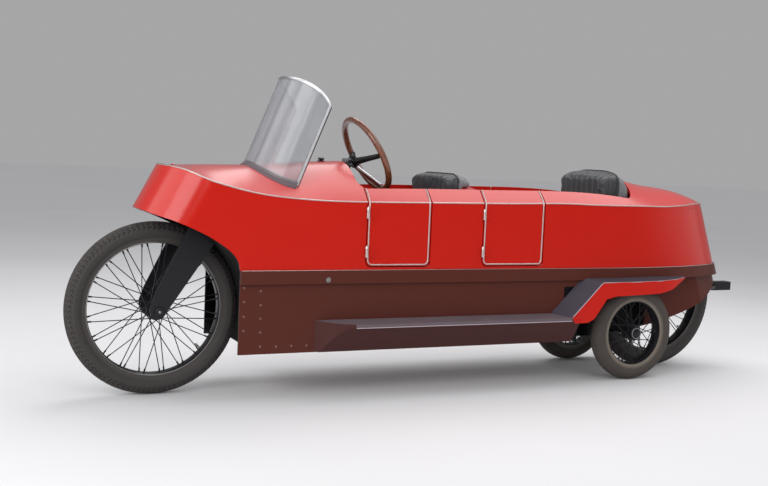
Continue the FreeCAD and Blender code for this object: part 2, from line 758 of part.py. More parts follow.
board_body = board.place(FRONT_AXLE, "0")
mirrored("right_running_board", board_body)

# Fender over the small wheel
fender_x = behind(size["fender_setback"])
fender_len = size["fender_length"]
top = size["fender_top"]
near = size["body_half_width"] - size["tub_inset"]


def side_profile(drop, skirt):
    """Side view of the fender: its top line lowered, closed by the skirt's edge."""
    slope = size["fender_slope_length"]
    rise = size["board_top"] - size["wall_thickness"] * 0.45 + size["fender_drop"]
    upper = [Vector(fender_x - drop, 0, rise - drop), Vector(fender_x - slope - drop / 2, 0, top - drop),
             Vector(fender_x - fender_len, 0, top - drop)]
    if not skirt:
        low = 0.3 * top
        return chain(upper + [Vector(fender_x - fender_len, 0, low),
                              Vector(fender_x - drop, 0, low), upper[0]])
    lower = [Vector(fender_x - along * fender_len, 0, high * top)
             for along, high in SKIRT_EDGE_SHARES]
    return chain(upper) + chain([upper[-1]] + lower[::-1] + [upper[0]])


def fender_plan(inset):
    """Plan view of the fender as a solid."""
    outer = [Vector(fender_x - along * fender_len, near + out * size["board_width"] - inset, 0)
             for along, out in FENDER_PLAN_SHARES]
    inner_line = [Vector(outer[-1].x, near - 5, 0), Vector(outer[0].x, near - 5, 0)]
    edges = [spline(outer)] + chain([outer[-1], inner_line[0], inner_line[1], outer[0]])
    return closed_prism(edges, Vector(0, 0, BIG))


def from_near(edges):
    """Side view swept outward, backward and down from the tub."""
    solid = closed_prism(edges, Vector(-2 * size["fender_sweep"], 2 * size["board_width"],
                                       -2 * size["fender_drop"]))
    solid.translate(Vector(0, near, 0))
    return solid


fender_sheet = size["fender_sheet"]
fender = from_near(side_profile(0, True)).common(fender_plan(0))
fender = fender.cut(from_near(side_profile(fender_sheet, False)).common(fender_plan(fender_sheet)))
band_room = hull(-size["sill_overhang"] - 0.3, band_low - 0.3, size["sill_height"])
fender = fender.cut(band_room)
board_width = size["board_width"]
board_top = size["board_top"]
board_room = closed_prism(chain([
    Vector(fender_x + 1, near - 1, 0), Vector(fender_x + 1, near + 0.2 * board_width, size["tub_bottom"]),
    Vector(fender_x + 1, near + 0.93 * board_width + 1, board_top - 26),
    Vector(fender_x + 1, near + board_width + 1, board_top - 17),
    Vector(fender_x + 1, near + board_width + 1, board_top - 7.5),
    Vector(fender_x + 1, near, board_top + 0.3), Vector(fender_x + 1, near - 1, board_top + 0.3),
    Vector(fender_x + 1, near - 1, 0)]), Vector(-size["board_front_setback"] / 6 - 1.3, 0, 0))
fender = fender.cut(board_room)
left_fender = shaped("left_fender", fender)
mirrored("right_fender", left_fender)


# Large wheels
def spoke_set(piece, hub_radius, hub_gap, rim_radius, groups, slant):
    """Four crossed spokes, two to each side of the hub, to be repeated round it."""
    step = 2 * math.pi / groups
    crossed = ((1, 1, 0.25), (1, -1, 0.75), (-1, 1, 0.75), (-1, -1, 1.25))
    spokes = []
    for side, cross, offset in crossed:
        near_angle = offset * step
        far_angle = near_angle + cross * math.radians(slant)
        gap = side * (hub_gap + cross * size["flange_width"] * 0.4)
        start = Vector(hub_radius * math.cos(near_angle), gap, hub_radius * math.sin(near_angle))
        end = Vector(rim_radius * math.cos(far_angle), side * size["flange_width"] / 2,
                     rim_radius * math.sin(far_angle))
        way = end - start
        across = piece.sketch("XY_Plane")
        across.setExpression("AttachmentOffset.Base.z", None)
        across.AttachmentOffset = Placement(start, Rotation(Vector(0, 0, 1), way))
        piece.circle(across, "0", "0", "spoke_radius")
        spokes.append(piece.pad(across, "%.5f" % way.Length))
    return spokes


def big_wheel(label, across):
    piece = Piece(label)
    lines = piece.sketch("XY_Plane")
    bore = "axle_radius + bore_clearance"
    rim_inner = "rim_radius - rim_depth"
    piece.polygon(lines, [
        (bore, "-hub_half_width"), ("hub_radius", "-hub_half_width"),
        ("hub_radius", "-flange_half_gap - flange_width / 2"),
        ("flange_radius", "-flange_half_gap - flange_width / 2"),
        ("flange_radius", "flange_width / 2 - flange_half_gap"),
        ("hub_radius", "flange_width / 2 - flange_half_gap"),
        ("hub_radius", "flange_half_gap - flange_width / 2"),
        ("flange_radius", "flange_half_gap - flange_width / 2"),
        ("flange_radius", "flange_half_gap + flange_width / 2"),
        ("hub_radius", "flange_half_gap + flange_width / 2"),
        ("hub_radius", "hub_half_width"), (bore, "hub_half_width")])
    piece.revolve(lines, "V_Axis")
    ring = piece.sketch("XY_Plane")
    piece.polygon(ring, [
        (rim_inner, "-rim_half_width * 0.45"), ("rim_radius - rim_depth * 0.5", "-rim_half_width"),
        ("rim_radius", "-rim_half_width"), ("rim_radius", "rim_half_width"),
        ("rim_radius - rim_depth * 0.5", "rim_half_width"), (rim_inner, "rim_half_width * 0.45")])
    piece.revolve(ring, "V_Axis")
    spokes = spoke_set(piece, number("flange_radius - 4"), number("flange_half_gap"),
                       number("rim_radius - rim_depth + 4"), number("spoke_groups"), 52)
    piece.repeat(spokes, "Y_Axis", "spoke_groups")
    return piece.place(across, "wheel_radius")


def small_wheel(label, sideways):
    piece = Piece(label)
    lines = piece.sketch("XY_Plane")
    bore = "side_axle_radius + bore_clearance"
    piece.polygon(lines, [
        (bore, "-side_hub_half_width"), ("side_hub_radius", "-side_hub_half_width"),
        ("side_hub_radius", "-side_flange_half_gap - flange_width / 2"),
        ("side_flange_radius", "-side_flange_half_gap - flange_width / 2"),
        ("side_flange_radius", "flange_width / 2 - side_flange_half_gap"),
        ("side_hub_radius", "flange_width / 2 - side_flange_half_gap"),
        ("side_hub_radius", "side_flange_half_gap - flange_width / 2"),
        ("side_flange_radius", "side_flange_half_gap - flange_width / 2"),
        ("side_flange_radius", "side_flange_half_gap + flange_width / 2"),
        ("side_hub_radius", "side_flange_half_gap + flange_width / 2"),
        ("side_hub_radius", "side_hub_half_width"), (bore, "side_hub_half_width")])
    piece.revolve(lines, "V_Axis")
    ring = piece.sketch("XY_Plane")
    piece.polygon(ring, [
        ("side_rim_radius - side_rim_depth", "-side_rim_half_width * 0.45"),
        ("side_rim_radius - side_rim_depth * 0.5", "-side_rim_half_width"),
        ("side_rim_radius", "-side_rim_half_width"), ("side_rim_radius", "side_rim_half_width"),
        ("side_rim_radius - side_rim_depth * 0.5", "side_rim_half_width"),
        ("side_rim_radius - side_rim_depth", "side_rim_half_width * 0.45")])
    piece.revolve(ring, "V_Axis")
    spokes = spoke_set(piece, number("side_flange_radius - 4"), number("side_flange_half_gap"),
                       number("side_rim_radius - side_rim_depth + 4"),
                       number("side_spoke_groups"), 62)
    piece.repeat(spokes, "Y_Axis", "side_spoke_groups")
    return piece.place("side_wheel_setback", "side_wheel_radius", sideways)


def tyre(label, outer, section, rim, across, sideways):
    """Round tyre seated on its rim."""
    ring = doc.addObject("Part::Torus", label + "_ring")
    ring.setExpression("Radius1", bind(outer + " - " + section))
    ring.setExpression("Radius2", bind(section))
    seat = doc.addObject("Part::Cylinder", label + "_seat")
    seat.setExpression("Radius", bind(rim))
    seat.setExpression("Height", bind("4 * " + section))
    seat.setExpression("Placement.Base.z", bind("-2 * " + section))
    made = doc.addObject("Part::Cut", label)
    made.Label = label
    made.Base = ring
    made.Tool = seat
    made.Placement = Placement(Vector(0, 0, 0), Rotation(Vector(1, 0, 0), 90))
    made.setExpression("Placement.Base.x", bind(FRONT_AXLE + " - (" + across + ")"))
    made.setExpression("Placement.Base.y", bind(sideways))
    made.setExpression("Placement.Base.z", bind(outer))
    finished.append(made)
    return made


big_wheel("front_wheel", "0")
big_wheel("rear_wheel", "wheelbase")
small_wheel("left_small_wheel", "side_half_track")
small_wheel("right_small_wheel", "-side_half_track")
tyre("front_tyre", "wheel_radius", "tyre_section_radius", "rim_radius", "0", "0")
tyre("rear_tyre", "wheel_radius", "tyre_section_radius", "rim_radius", "wheelbase", "0")
tyre("left_small_tyre", "side_wheel_radius", "side_tyre_section_radius", "side_rim_radius",
     "side_wheel_setback", "side_half_track")
tyre("right_small_tyre", "side_wheel_radius", "side_tyre_section_radius", "side_rim_radius",
     "side_wheel_setback", "-side_half_track")

# Front fork, drawn upright about the axle and then leaned back
lean_back = Rotation(Vector(0, 1, 0), -size["fork_rake"])
fork = Piece("front_fork")
blade = fork.sketch("XZ_Plane")
fork.polygon(blade, [
    ("fork_front_depth * 0.45", "-fork_front_depth * 0.62"),
    ("fork_front_depth * 0.85", "-fork_front_depth * 0.1"),
    ("fork_front_depth", "fork_crown_reach * 0.16"),
    ("fork_front_depth", "fork_crown_reach + fork_crown_thickness"),
    ("-fork_rear_depth", "fork_crown_reach + fork_crown_thickness"),
    ("-fork_rear_depth * 0.73", "fork_crown_reach * 0.63"),
    ("-fork_rear_depth * 0.36", "fork_crown_reach * 0.06"),
    ("-fork_rear_depth * 0.28", "-fork_front_depth * 0.45"),
    ("-fork_rear_depth * 0.1", "-fork_front_depth * 0.66")])
fork.pad(blade, "2 * (fork_inner_half_width + fork_blade_thickness)", both=True)
gap = fork.sketch("XZ_Plane")
fork.polygon(gap, [
    ("-2 * fork_rear_depth", "-2 * fork_front_depth"), ("2 * fork_rear_depth", "-2 * fork_front_depth"),
    ("2 * fork_rear_depth", "fork_crown_reach"), ("-2 * fork_rear_depth", "fork_crown_reach")])
fork.pad(gap, "2 * fork_inner_half_width", both=True, cut=True)
hole = fork.sketch("XZ_Plane")
fork.circle(hole, "0", "0", "axle_radius")
fork.pad(hole, "4 * fork_inner_half_width", both=True, cut=True)
stem = fork.sketch("XY_Plane", "fork_crown_reach + fork_crown_thickness")
fork.circle(stem, "0", "0", "fork_stem_radius")
fork.pad(stem, "fork_stem_length")
fork.place("0", "wheel_radius", "0", lean_back)


def axle(label, radius, half_length, nut, across):
    """Axle with a nut at each end."""
    piece = Piece(label)
    lines = piece.sketch("XY_Plane")
    piece.polygon(lines, [
        ("0", "-(" + half_length + ")"), (radius + " * 1.7", "-(" + half_length + ")"),
        (radius + " * 1.7", "-(" + nut + ")"), (radius, "-(" + nut + ")"), (radius, nut),
        (radius + " * 1.7", nut), (radius + " * 1.7", half_length), ("0", half_length)])
    piece.revolve(lines, "V_Axis")
    return piece.place(across, "wheel_radius")


blade_out = "fork_inner_half_width + fork_blade_thickness"
axle("front_axle", "axle_radius", blade_out + " + 14", blade_out, "0")

# Steering head between the nose walls
head = Piece("steering_head")
beam = head.sketch("XZ_Plane")
head.polygon(beam, [
    ("-head_radius", "head_start + 10"), ("head_radius", "head_start + 10"),
    ("head_radius", "head_start + head_length * 0.58"),
    ("-head_radius", "head_start + head_length * 0.58")])
head.pad(beam, "2 * (body_half_width - wall_thickness)", both=True)
tube = head.sketch("XY_Plane", "head_start")
head.circle(tube, "0", "0", "head_radius")
head.pad(tube, "head_length")
bore = head.sketch("XY_Plane", "head_start")
head.circle(bore, "0", "0", "fork_stem_radius + bore_clearance")
head.pad(bore, "head_length * 2", both=True, cut=True)
head.place("0", "wheel_radius", "0", lean_back)

# Housing behind the front wheel
housing = Piece("front_wheel_housing")
arc = housing.sketch("XZ_Plane")
steps = 10
start_angle = size["housing_first_angle"]
end_angle = size["housing_last_angle"]
inner_points = []
outer_points = []
for index in range(steps + 1):
    angle = start_angle + (end_angle - start_angle) * index / steps
    turned = "%.4f" % math.cos(math.radians(angle))
    raised = "%.4f" % math.sin(math.radians(angle))
    inner_points.append(("housing_radius * " + turned, "housing_radius * " + raised))
    outer_points.append(("(housing_radius + housing_sheet) * " + turned,
                         "(housing_radius + housing_sheet) * " + raised))
first_x = "housing_radius * %.4f" % math.cos(math.radians(start_angle))
first_z = "housing_radius * %.4f" % math.sin(math.radians(start_angle))
plate_top = "housing_plate_top - wheel_radius"
housing.polygon(arc, [(first_x, plate_top)] + inner_points + outer_points[:0:-1]
                + [(first_x + " - housing_sheet", first_z),
                   (first_x + " - housing_sheet", plate_top)])
housing.pad(arc, "2 * (body_half_width - wall_thickness - inner_gap)", both=True)
housing.place("0", "wheel_radius")

# Steering wheel and column, drawn upright and then laid along the column
along = Rotation(Vector(0, 0, 1), column_way)
steering_rim = Piece("steering_rim")
ring = steering_rim.sketch("XZ_Plane")
steering_rim.circle(ring, "steering_radius", "0", "steering_rim_radius")
steering_rim.revolve(ring, "V_Axis")
steering_rim.place("steering_setback", "steering_height", "0", along)
spider = Piece("steering_spider")
hub_lines = spider.sketch("XZ_Plane")
spider.polygon(hub_lines, [
    ("0", "steering_dish"), ("steering_hub_radius * 0.6", "steering_dish"),
    ("steering_hub_radius", "steering_dish + steering_hub_length * 0.3"),
    ("steering_hub_radius", "steering_dish + steering_hub_length"),
    ("steering_shaft_radius", "steering_dish + steering_hub_length"),
    ("steering_shaft_radius", "column_start + column_length * 0.9"),
    ("0", "column_start + column_length * 0.9")])
spider.revolve(hub_lines, "V_Axis")
hub_edge = size["steering_hub_radius"] * 0.8
rim_edge = size["steering_radius"] - size["steering_rim_radius"] - 3
hub_middle = Vector(0, 0, size["steering_dish"] + size["steering_hub_length"] / 2)
for way in (Vector(1, 0, 0), Vector(0, 1, 0), Vector(0, -1, 0)):
    spider.rod("steering_rim_radius * 0.65", hub_middle + way * hub_edge,
               Vector(0, 0, 2) + way * rim_edge)
spider.place("steering_setback", "steering_height", "0", along)
column = Piece("steering_column")
tube = column.sketch("XZ_Plane")
column.polygon(tube, [
    ("steering_shaft_radius + bore_clearance", "column_start"), ("column_radius", "column_start"),
    ("column_radius", "column_start + column_length"),
    ("steering_shaft_radius + bore_clearance", "column_start + column_length")])
column.revolve(tube, "V_Axis")
column.place("steering_setback", "steering_height", "0", along)

# Floor and seats
floor = Piece("floor_boards")
lines = floor.sketch("XY_Plane")
floor_half = "(body_half_width - tub_inset - tub_wall - inner_gap)"
floor.polygon(lines, [
    ("-(floor_front_setback + 45)", "-" + floor_half),
    ("-(floor_front_setback + 45)", floor_half),
    ("-(tub_front_setback + tub_length - tub_wall - inner_gap)", floor_half),
    ("-(tub_front_setback + tub_length - tub_wall - inner_gap)", "-" + floor_half)])
floor.pad(lines, "floor_thickness")
box = floor.sketch("XY_Plane")
box_front = "-front_seat_setback + front_cushion_length"
floor.polygon(box, [
    ("-front_seat_setback", "-seat_half_width"), (box_front, "-seat_half_width"),
    (box_front, "seat_half_width"), ("-front_seat_setback", "seat_half_width")])
floor.pad(box, "floor_thickness + seat_box_height")
floor.place("0", "tub_bottom + tub_wall")
floor_top = "(tub_bottom + tub_wall + floor_thickness)"

# Seat board and upright plate behind the rear seat
frame_board = Piece("rear_seat_frame")
lines = frame_board.sketch("XZ_Plane")
board_low = "(tail_box_roof + inner_gap)"
board_high = "(tail_box_roof + inner_gap + seat_board_thickness)"
front = "(-rear_seat_setback + rear_cushion_length)"
frame_board.polygon(lines, [
    (front, floor_top), (front, board_high), ("-bulkhead_setback - 1", board_high),
    ("-bulkhead_setback - 1", board_low), (front + " - floor_thickness", board_low),
    (front + " - floor_thickness", floor_top)])
frame_board.pad(lines, "2 * seat_half_width", both=True)
upright = frame_board.sketch("XZ_Plane")
plate_back = "(-bulkhead_setback - bulkhead_thickness)"
frame_board.polygon(upright, [
    ("-bulkhead_setback", board_low), ("-bulkhead_setback", "belt_height - wall_thickness"),
    (plate_back, "belt_height - wall_thickness"), (plate_back, board_low)])
frame_board.pad(upright, "2 * (body_half_width - wall_thickness - 10)", both=True)
frame_board.place("0", "0")


def seat(title, face, cushion_length, thick_text, low_text, top_height, over, over_low):
    """Cushion and backrest."""
    cushion = Piece(title + "_seat_cushion")
    lines = cushion.sketch("XZ_Plane")
    cushion.polygon(lines, [
        ("0", "0"), (cushion_length, "0"), (cushion_length + " + 8", thick_text + " * 0.6"),
        (cushion_length + " - 18", thick_text), ("seat_round", thick_text + " * 0.92"),
        ("0", thick_text + " * 0.8")])
    cushion.pad(lines, "2 * seat_half_width", both=True)
    cushion.place(face, low_text)
    rest = Piece(title + "_seat_back")
    low = "(" + low_text + " + " + thick_text + ")"
    lines = rest.sketch("XZ_Plane")
    tall = "(" + top_height + " - " + low + ")"
    under = "(" + over_low + " - " + low + ")"
    deep = "(-seat_back_thickness - " + over + ")"
    rest.polygon(lines, [
        ("0", "0"), ("0", tall + " - 14"), ("-seat_round * 0.5", tall + " - 4"),
        ("-seat_round * 1.4", tall), (deep + " * 0.55", tall),
        (deep + " * 0.75", tall + " - (" + tall + " - " + under + ") * 0.15"),
        (deep + " * 0.92", tall + " - (" + tall + " - " + under + ") * 0.42"),
        (deep, tall + " - (" + tall + " - " + under + ") * 0.75"), (deep, under),
        ("-seat_back_thickness", under), ("-seat_back_thickness", "0")])
    rest.pad(lines, "2 * seat_half_width", both=True)
    for side in ("", "-"):
        corner_lines = rest.sketch("YZ_Plane")
        rest.polygon(corner_lines, [
            (side + "seat_half_width * 1.1", tall + " - 58"), (side + "seat_half_width", tall + " - 58"),
            (side + "seat_half_width * 0.93", tall + " - 26"),
            (side + "seat_half_width * 0.75", tall + " - 7"), (side + "seat_half_width * 0.5", tall),
            (side + "seat_half_width * 0.5", tall + " + 20"),
            (side + "seat_half_width * 1.1", tall + " + 20")])
        rest.pad(corner_lines, "6 * seat_back_thickness", both=True, cut=True)
        rear_lines = rest.sketch("XY_Plane")
        rest.polygon(rear_lines, [
            ("-seat_back_thickness - 40", side + "seat_half_width * 1.1"),
            ("-seat_back_thickness - 40", side + "seat_half_width"),
            ("-seat_back_thickness - 62", side + "seat_half_width * 0.98"),
            ("-seat_back_thickness - 84", side + "seat_half_width * 0.92"),
            ("-seat_back_thickness - 102", side + "seat_half_width * 0.74"),
            ("-seat_back_thickness - 102", side + "seat_half_width * 1.1")])
        rest.pad(rear_lines, "2 * belt_height", both=True, cut=True)
    rest.place(face, low)


seat("front", "front_seat_setback", "front_cushion_length", "front_cushion_thickness",
     floor_top + " + seat_box_height", "front_seat_top", "front_back_overhang",
     "front_overhang_low")
seat("rear", "rear_seat_setback", "rear_cushion_length", "rear_cushion_thickness",
     board_high, "rear_seat_top", "rear_back_overhang", "rear_overhang_low")

# Engine as one plain block
engine = Piece("engine_block")
lines = engine.sketch("XY_Plane")
engine.polygon(lines, [
    ("-engine_length", "-engine_width / 2"), ("0", "-engine_width / 2"),
    ("0", "engine_width / 2"), ("-engine_length", "engine_width / 2")])
engine.pad(lines, "engine_height")
engine.place("engine_setback", "tub_bottom + tub_wall")

# Rear wheel carrier and axle
carrier = Piece("rear_wheel_carrier")
reach = "(wheelbase - carrier_tube_setback)"
lines = carrier.sketch("XZ_Plane")
carrier.polygon(lines, [
    ("0", "carrier_leg_height / 2"), ("0", "-carrier_leg_height / 2"),
    ("-" + reach + " - 12", "-carrier_leg_height / 2"),
    ("-" + reach + " - 24", "-carrier_leg_height / 4"),
    ("-" + reach + " - 24", "carrier_leg_height / 4"),
    ("-" + reach + " - 12", "carrier_leg_height / 2")])
carrier.pad(lines, "2 * (fork_inner_half_width + carrier_leg_thickness)", both=True)
gap = carrier.sketch("XZ_Plane")
carrier.polygon(gap, [
    ("carrier_leg_height", "-carrier_leg_height"), ("carrier_leg_height", "carrier_leg_height"),
    ("-2 * " + reach, "carrier_leg_height"), ("-2 * " + reach, "-carrier_leg_height")])
carrier.pad(gap, "2 * fork_inner_half_width", both=True, cut=True)
tube = carrier.sketch("XZ_Plane")
carrier.circle(tube, "0", "0", "carrier_tube_radius")
carrier.pad(tube, "2 * (tail_box_half_width - tub_wall)", both=True)
hole = carrier.sketch("XZ_Plane")
carrier.circle(hole, "-" + reach, "0", "axle_radius")
carrier.pad(hole, "4 * fork_inner_half_width", both=True, cut=True)
carrier.place("carrier_tube_setback", "wheel_radius")
leg_out = "fork_inner_half_width + carrier_leg_thickness"
axle("rear_axle", "axle_radius", leg_out + " + 12", leg_out, "wheelbase")

# Small wheel arm with its stub axle
arm = Piece("left_wheel_arm")
drop = "(arm_pivot_height - side_wheel_radius)"
run = "(side_wheel_setback - arm_pivot_setback)"
start = "-(tail_box_half_width)"
boss = arm.sketch("XZ_Plane", start)
arm.circle(boss, "0", "0", "arm_boss_radius")
arm.pad(boss, "arm_thickness + 6", back=True)
bar = arm.sketch("XZ_Plane", start + " - 6")
arm.polygon(bar, [
    ("0", "arm_height / 2"), ("0", "-arm_height / 2"),
    ("-" + run + " - 16", "-" + drop + " - arm_height / 2"),
    ("-" + run + " - 30", "-" + drop + " - arm_height / 4"),
    ("-" + run + " - 30", "-" + drop + " + arm_height / 4"),
    ("-" + run + " - 6", "-" + drop + " + arm_height / 2")])
arm.pad(bar, "arm_thickness", back=True)
stub = arm.sketch("XZ_Plane", start + " - 6")
arm.circle(stub, "-" + run, "-" + drop, "side_axle_radius")
arm.pad(stub, "side_half_track + side_hub_half_width + 4 - tail_box_half_width - 6", back=True)
arm_body = arm.place("arm_pivot_setback", "arm_pivot_height")
mirrored("right_wheel_arm", arm_body)

# Rear hitch
hitch = Piece("rear_hitch")
bar_out = "(hitch_bar_half_gap + hitch_bar_thickness)"
mount_half = "hitch_mount_half_width"
last = "(overall_length - wheel_radius)"
lines = hitch.sketch("XY_Plane", "hitch_height - hitch_bar_height / 2")
cross = "-(tail_setback + hitch_bar_thickness)"
cross_end = "-(tail_setback + hitch_bar_thickness * 3)"
hitch.polygon(lines, [
    ("-(tail_setback - 135)", mount_half), ("-(tail_setback - 110)", mount_half + " - 10"),
    (cross, bar_out), (cross_end, bar_out), (cross_end, "-" + bar_out), (cross, "-" + bar_out),
    ("-(tail_setback - 110)", "-" + mount_half + " + 10"), ("-(tail_setback - 135)", "-" + mount_half),
    ("-(tail_setback - 135)", "-" + mount_half + " + hitch_bar_thickness"),
    ("-(tail_setback - 107)", "-" + mount_half + " + 10 + hitch_bar_thickness"),
    (cross, "-hitch_bar_half_gap"), (cross, "hitch_bar_half_gap"),
    ("-(tail_setback - 107)", mount_half + " - 10 - hitch_bar_thickness"),
    ("-(tail_setback - 135)", mount_half + " - hitch_bar_thickness")])
hitch.pad(lines, "hitch_bar_height")
lump = hitch.sketch("XY_Plane", "hitch_height - hitch_block_height / 2")
hitch.polygon(lump, [
    (cross_end + " + 4", "-hitch_block_width / 2"), (cross_end + " + 4", "hitch_block_width / 2"),
    ("-" + last, "hitch_block_width / 2"), ("-" + last, "-hitch_block_width / 2")])
hitch.pad(lump, "hitch_block_height")
strut = hitch.sketch("XY_Plane", "hitch_height")
hitch.polygon(strut, [
    (cross_end + " + 4", "-hitch_bar_height"), (cross_end + " + 4", "hitch_bar_height"),
    (cross, "hitch_bar_height"), (cross, "-hitch_bar_height")])
hitch.pad(strut, "sill_height - sill_depth - hitch_height")
pin = hitch.sketch("XY_Plane", "hitch_height")
hitch.circle(pin, "-" + last + " + hitch_block_length / 2", "0", "hitch_pin_radius")
hitch.pad(pin, "2 * hitch_block_height", both=True, cut=True)
hitch.place("0", "0")

# Checks and files
doc.recompute()
os.makedirs("parts", exist_ok=True)
faults = []
for item in doc.Objects:
    if "Invalid" in item.State or "Error" in item.State:
        faults.append("%s is %s" % (item.Label, item.State))
for item in finished:
    if item.Shape.isNull() or not item.Shape.isValid() or not item.Shape.Solids:
        faults.append("%s has no valid solid" % item.Label)
if faults:
    raise RuntimeError("; ".join(faults))
for item in finished:
    item.Shape.exportStep("parts/%s.step" % item.Label)
    box = item.Shape.BoundBox
    print("%-22s %d %9.0f  x %6.0f %6.0f  y %5.0f %5.0f  z %5.0f %5.0f" % (
        item.Label, len(item.Shape.Solids), item.Shape.Volume / 1000, box.XMin, box.XMax,
        box.YMin, box.YMax, box.ZMin, box.ZMax))
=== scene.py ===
"""Looks of the tandem family car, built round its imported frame."""

import logging
import math
from dataclasses import dataclass, replace
from enum import Enum
from typing import Callable, Optional, Sequence

import bmesh
import bpy
import numpy as np
from mathutils import Matrix, Vector
from mathutils.bvhtree import BVHTree


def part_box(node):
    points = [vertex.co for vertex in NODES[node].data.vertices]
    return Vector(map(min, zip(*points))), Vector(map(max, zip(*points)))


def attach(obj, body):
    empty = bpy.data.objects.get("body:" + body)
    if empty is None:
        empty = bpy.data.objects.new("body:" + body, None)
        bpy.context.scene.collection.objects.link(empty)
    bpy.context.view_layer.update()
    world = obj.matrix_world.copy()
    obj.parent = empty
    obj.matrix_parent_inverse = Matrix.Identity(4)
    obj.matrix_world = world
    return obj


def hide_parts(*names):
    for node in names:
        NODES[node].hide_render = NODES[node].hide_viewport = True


logging.basicConfig(level=logging.INFO, format="%(name)s: %(message)s")
log = logging.getLogger("car")

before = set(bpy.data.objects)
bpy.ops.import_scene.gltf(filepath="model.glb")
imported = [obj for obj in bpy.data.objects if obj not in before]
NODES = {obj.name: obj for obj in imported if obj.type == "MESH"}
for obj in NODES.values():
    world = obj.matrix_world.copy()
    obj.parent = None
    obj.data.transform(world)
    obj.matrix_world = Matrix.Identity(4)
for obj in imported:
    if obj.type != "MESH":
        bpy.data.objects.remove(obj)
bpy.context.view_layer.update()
Array, Vec = np.ndarray, Sequence[float]
Object, Material = bpy.types.Object, bpy.types.Material
Tree, Node = bpy.types.NodeTree, bpy.types.Node
Socket, Outputs = bpy.types.NodeSocket, bpy.types.NodeOutputs
UP = (0.0, 0.0, 1.0)
MIRROR = np.array([1.0, -1.0, 1.0])
TINY = 1e-12


class Side(Enum):
    """The two sides of the car, as the sign of Y."""

    LEFT = 1
    RIGHT = -1

    @property
    def word(self) -> str:
        """The side's name as the nodes use it."""
        return self.name.lower()


@dataclass(frozen=True)
class CarSizes:
    """Sizes that several assemblies share, in metres."""

    front_axle: float = 1.350
    rear_axle: float = -1.206
    side_axle: float = -0.885
    side_half_track: float = 0.250
    half_width: float = 0.262
    belt: float = 0.826
    length: float = 3.410
    sill_top: float = 0.535
    cockpit_half: float = 0.215
    door_bottom: float = 0.551


@dataclass(frozen=True)
class WheelForm:
    """Sizes of one kind of wheel and its tyre, in metres and degrees."""

    radius: float
    section: float
    rim: float
    blocks: int
    groove: float
    flange: float
    lip: float
    around: int
    across: int
    ring_inset: float
    ring_half_gap: float
    ring_faces: int
    hub: float
    hub_gap: float
    nipple_inset: float
    spoke_groups: int
    spoke_slant: float


SIZES = CarSizes()
LARGE = WheelForm(radius=0.355, section=0.040, rim=0.280, blocks=100, groove=0.0042, flange=0.028,
                  lip=0.0055, around=720, across=46, ring_inset=0.0068, ring_half_gap=0.0288,
                  ring_faces=120, hub=0.038, hub_gap=0.058, nipple_inset=0.0120,
                  spoke_groups=10, spoke_slant=52)
SMALL = WheelForm(radius=0.225, section=0.037, rim=0.156, blocks=84, groove=0.0016, flange=0.027,
                  lip=0.0045, around=504, across=40, ring_inset=0.0058, ring_half_gap=0.0278,
                  ring_faces=96, hub=0.034, hub_gap=0.022, nipple_inset=0.0110,
                  spoke_groups=8, spoke_slant=62)


# Meshes


@dataclass
class Patch:
    """One surface: points as an (n, 3) array, and faces as index tuples."""

    points: Array
    faces: list

    def flipped(self) -> "Patch":
        """The same surface with its faces turned round."""
        return Patch(self.points, [tuple(face[::-1]) for face in self.faces])

    def mirrored(self) -> "Patch":
        """The surface on the other side of the car, still facing outwards."""
        return Patch(self.points * MIRROR, self.faces).flipped()

    def both(self) -> list:
        """The surface and its twin on the other side of the car."""
        return [self, self.mirrored()]

    def outward(self) -> "Patch":
        """The closed surface turned so that its faces point outwards.

        Adds up the signed volumes of the cones from the middle to each face.
        """
        total = 0.0
        for corners in {len(face) for face in self.faces}:
            index = np.array([face for face in self.faces if len(face) == corners])
            rows = self.points[index] - self.points.mean(0)
            for step in range(1, corners - 1):
                cross = np.cross(rows[:, step], rows[:, step + 1])
                total += float(np.einsum("ij,ij->", rows[:, 0], cross))
        return self.flipped() if total < 0 else self

    def capped(self, count: int) -> "Patch":
        """A tube of rings of count points, closed by a flat face at either end."""
        total = len(self.points)
        ends = [tuple(range(count)), tuple(range(total - 1, total - count - 1, -1))]
        return Patch(self.points, self.faces + ends).outward()


def at(x: object, y: object, z: object) -> Array:
    """Points as (..., 3) from their coordinates, with single numbers repeated."""
    return np.stack(np.broadcast_arrays(x, y, z), -1)


def unit(rows: Array) -> Array:
    """Each vector divided by its length."""
    return rows / np.maximum(np.linalg.norm(rows, axis=-1, keepdims=True), TINY)


def full_turn(count: int) -> Array:
    """Angles that divide a full turn evenly, from 0."""
    return np.linspace(0, 2 * math.pi, count, endpoint=False)


def lattice(points: Array, around: bool, along: bool) -> Patch:
    """Quads over a grid of points.

    Args:
        points: array of (rows, columns, 3).
        around: whether the last column meets the first.
        along: whether the last row meets the first.

    Returns:
        The surface.
    """
    rows, columns = points.shape[:2]
    row = np.arange(rows if along else rows - 1)
    column = np.arange(columns if around else columns - 1)
    a, b = np.meshgrid(row, column, indexing="ij")
    c, d = (a + 1) % rows, (b + 1) % columns
    quads = np.stack([a * columns + b, a * columns + d, c * columns + d, c * columns + b], -1)
    return Patch(points.reshape(-1, 3), [tuple(q) for q in quads.reshape(-1, 4).tolist()])


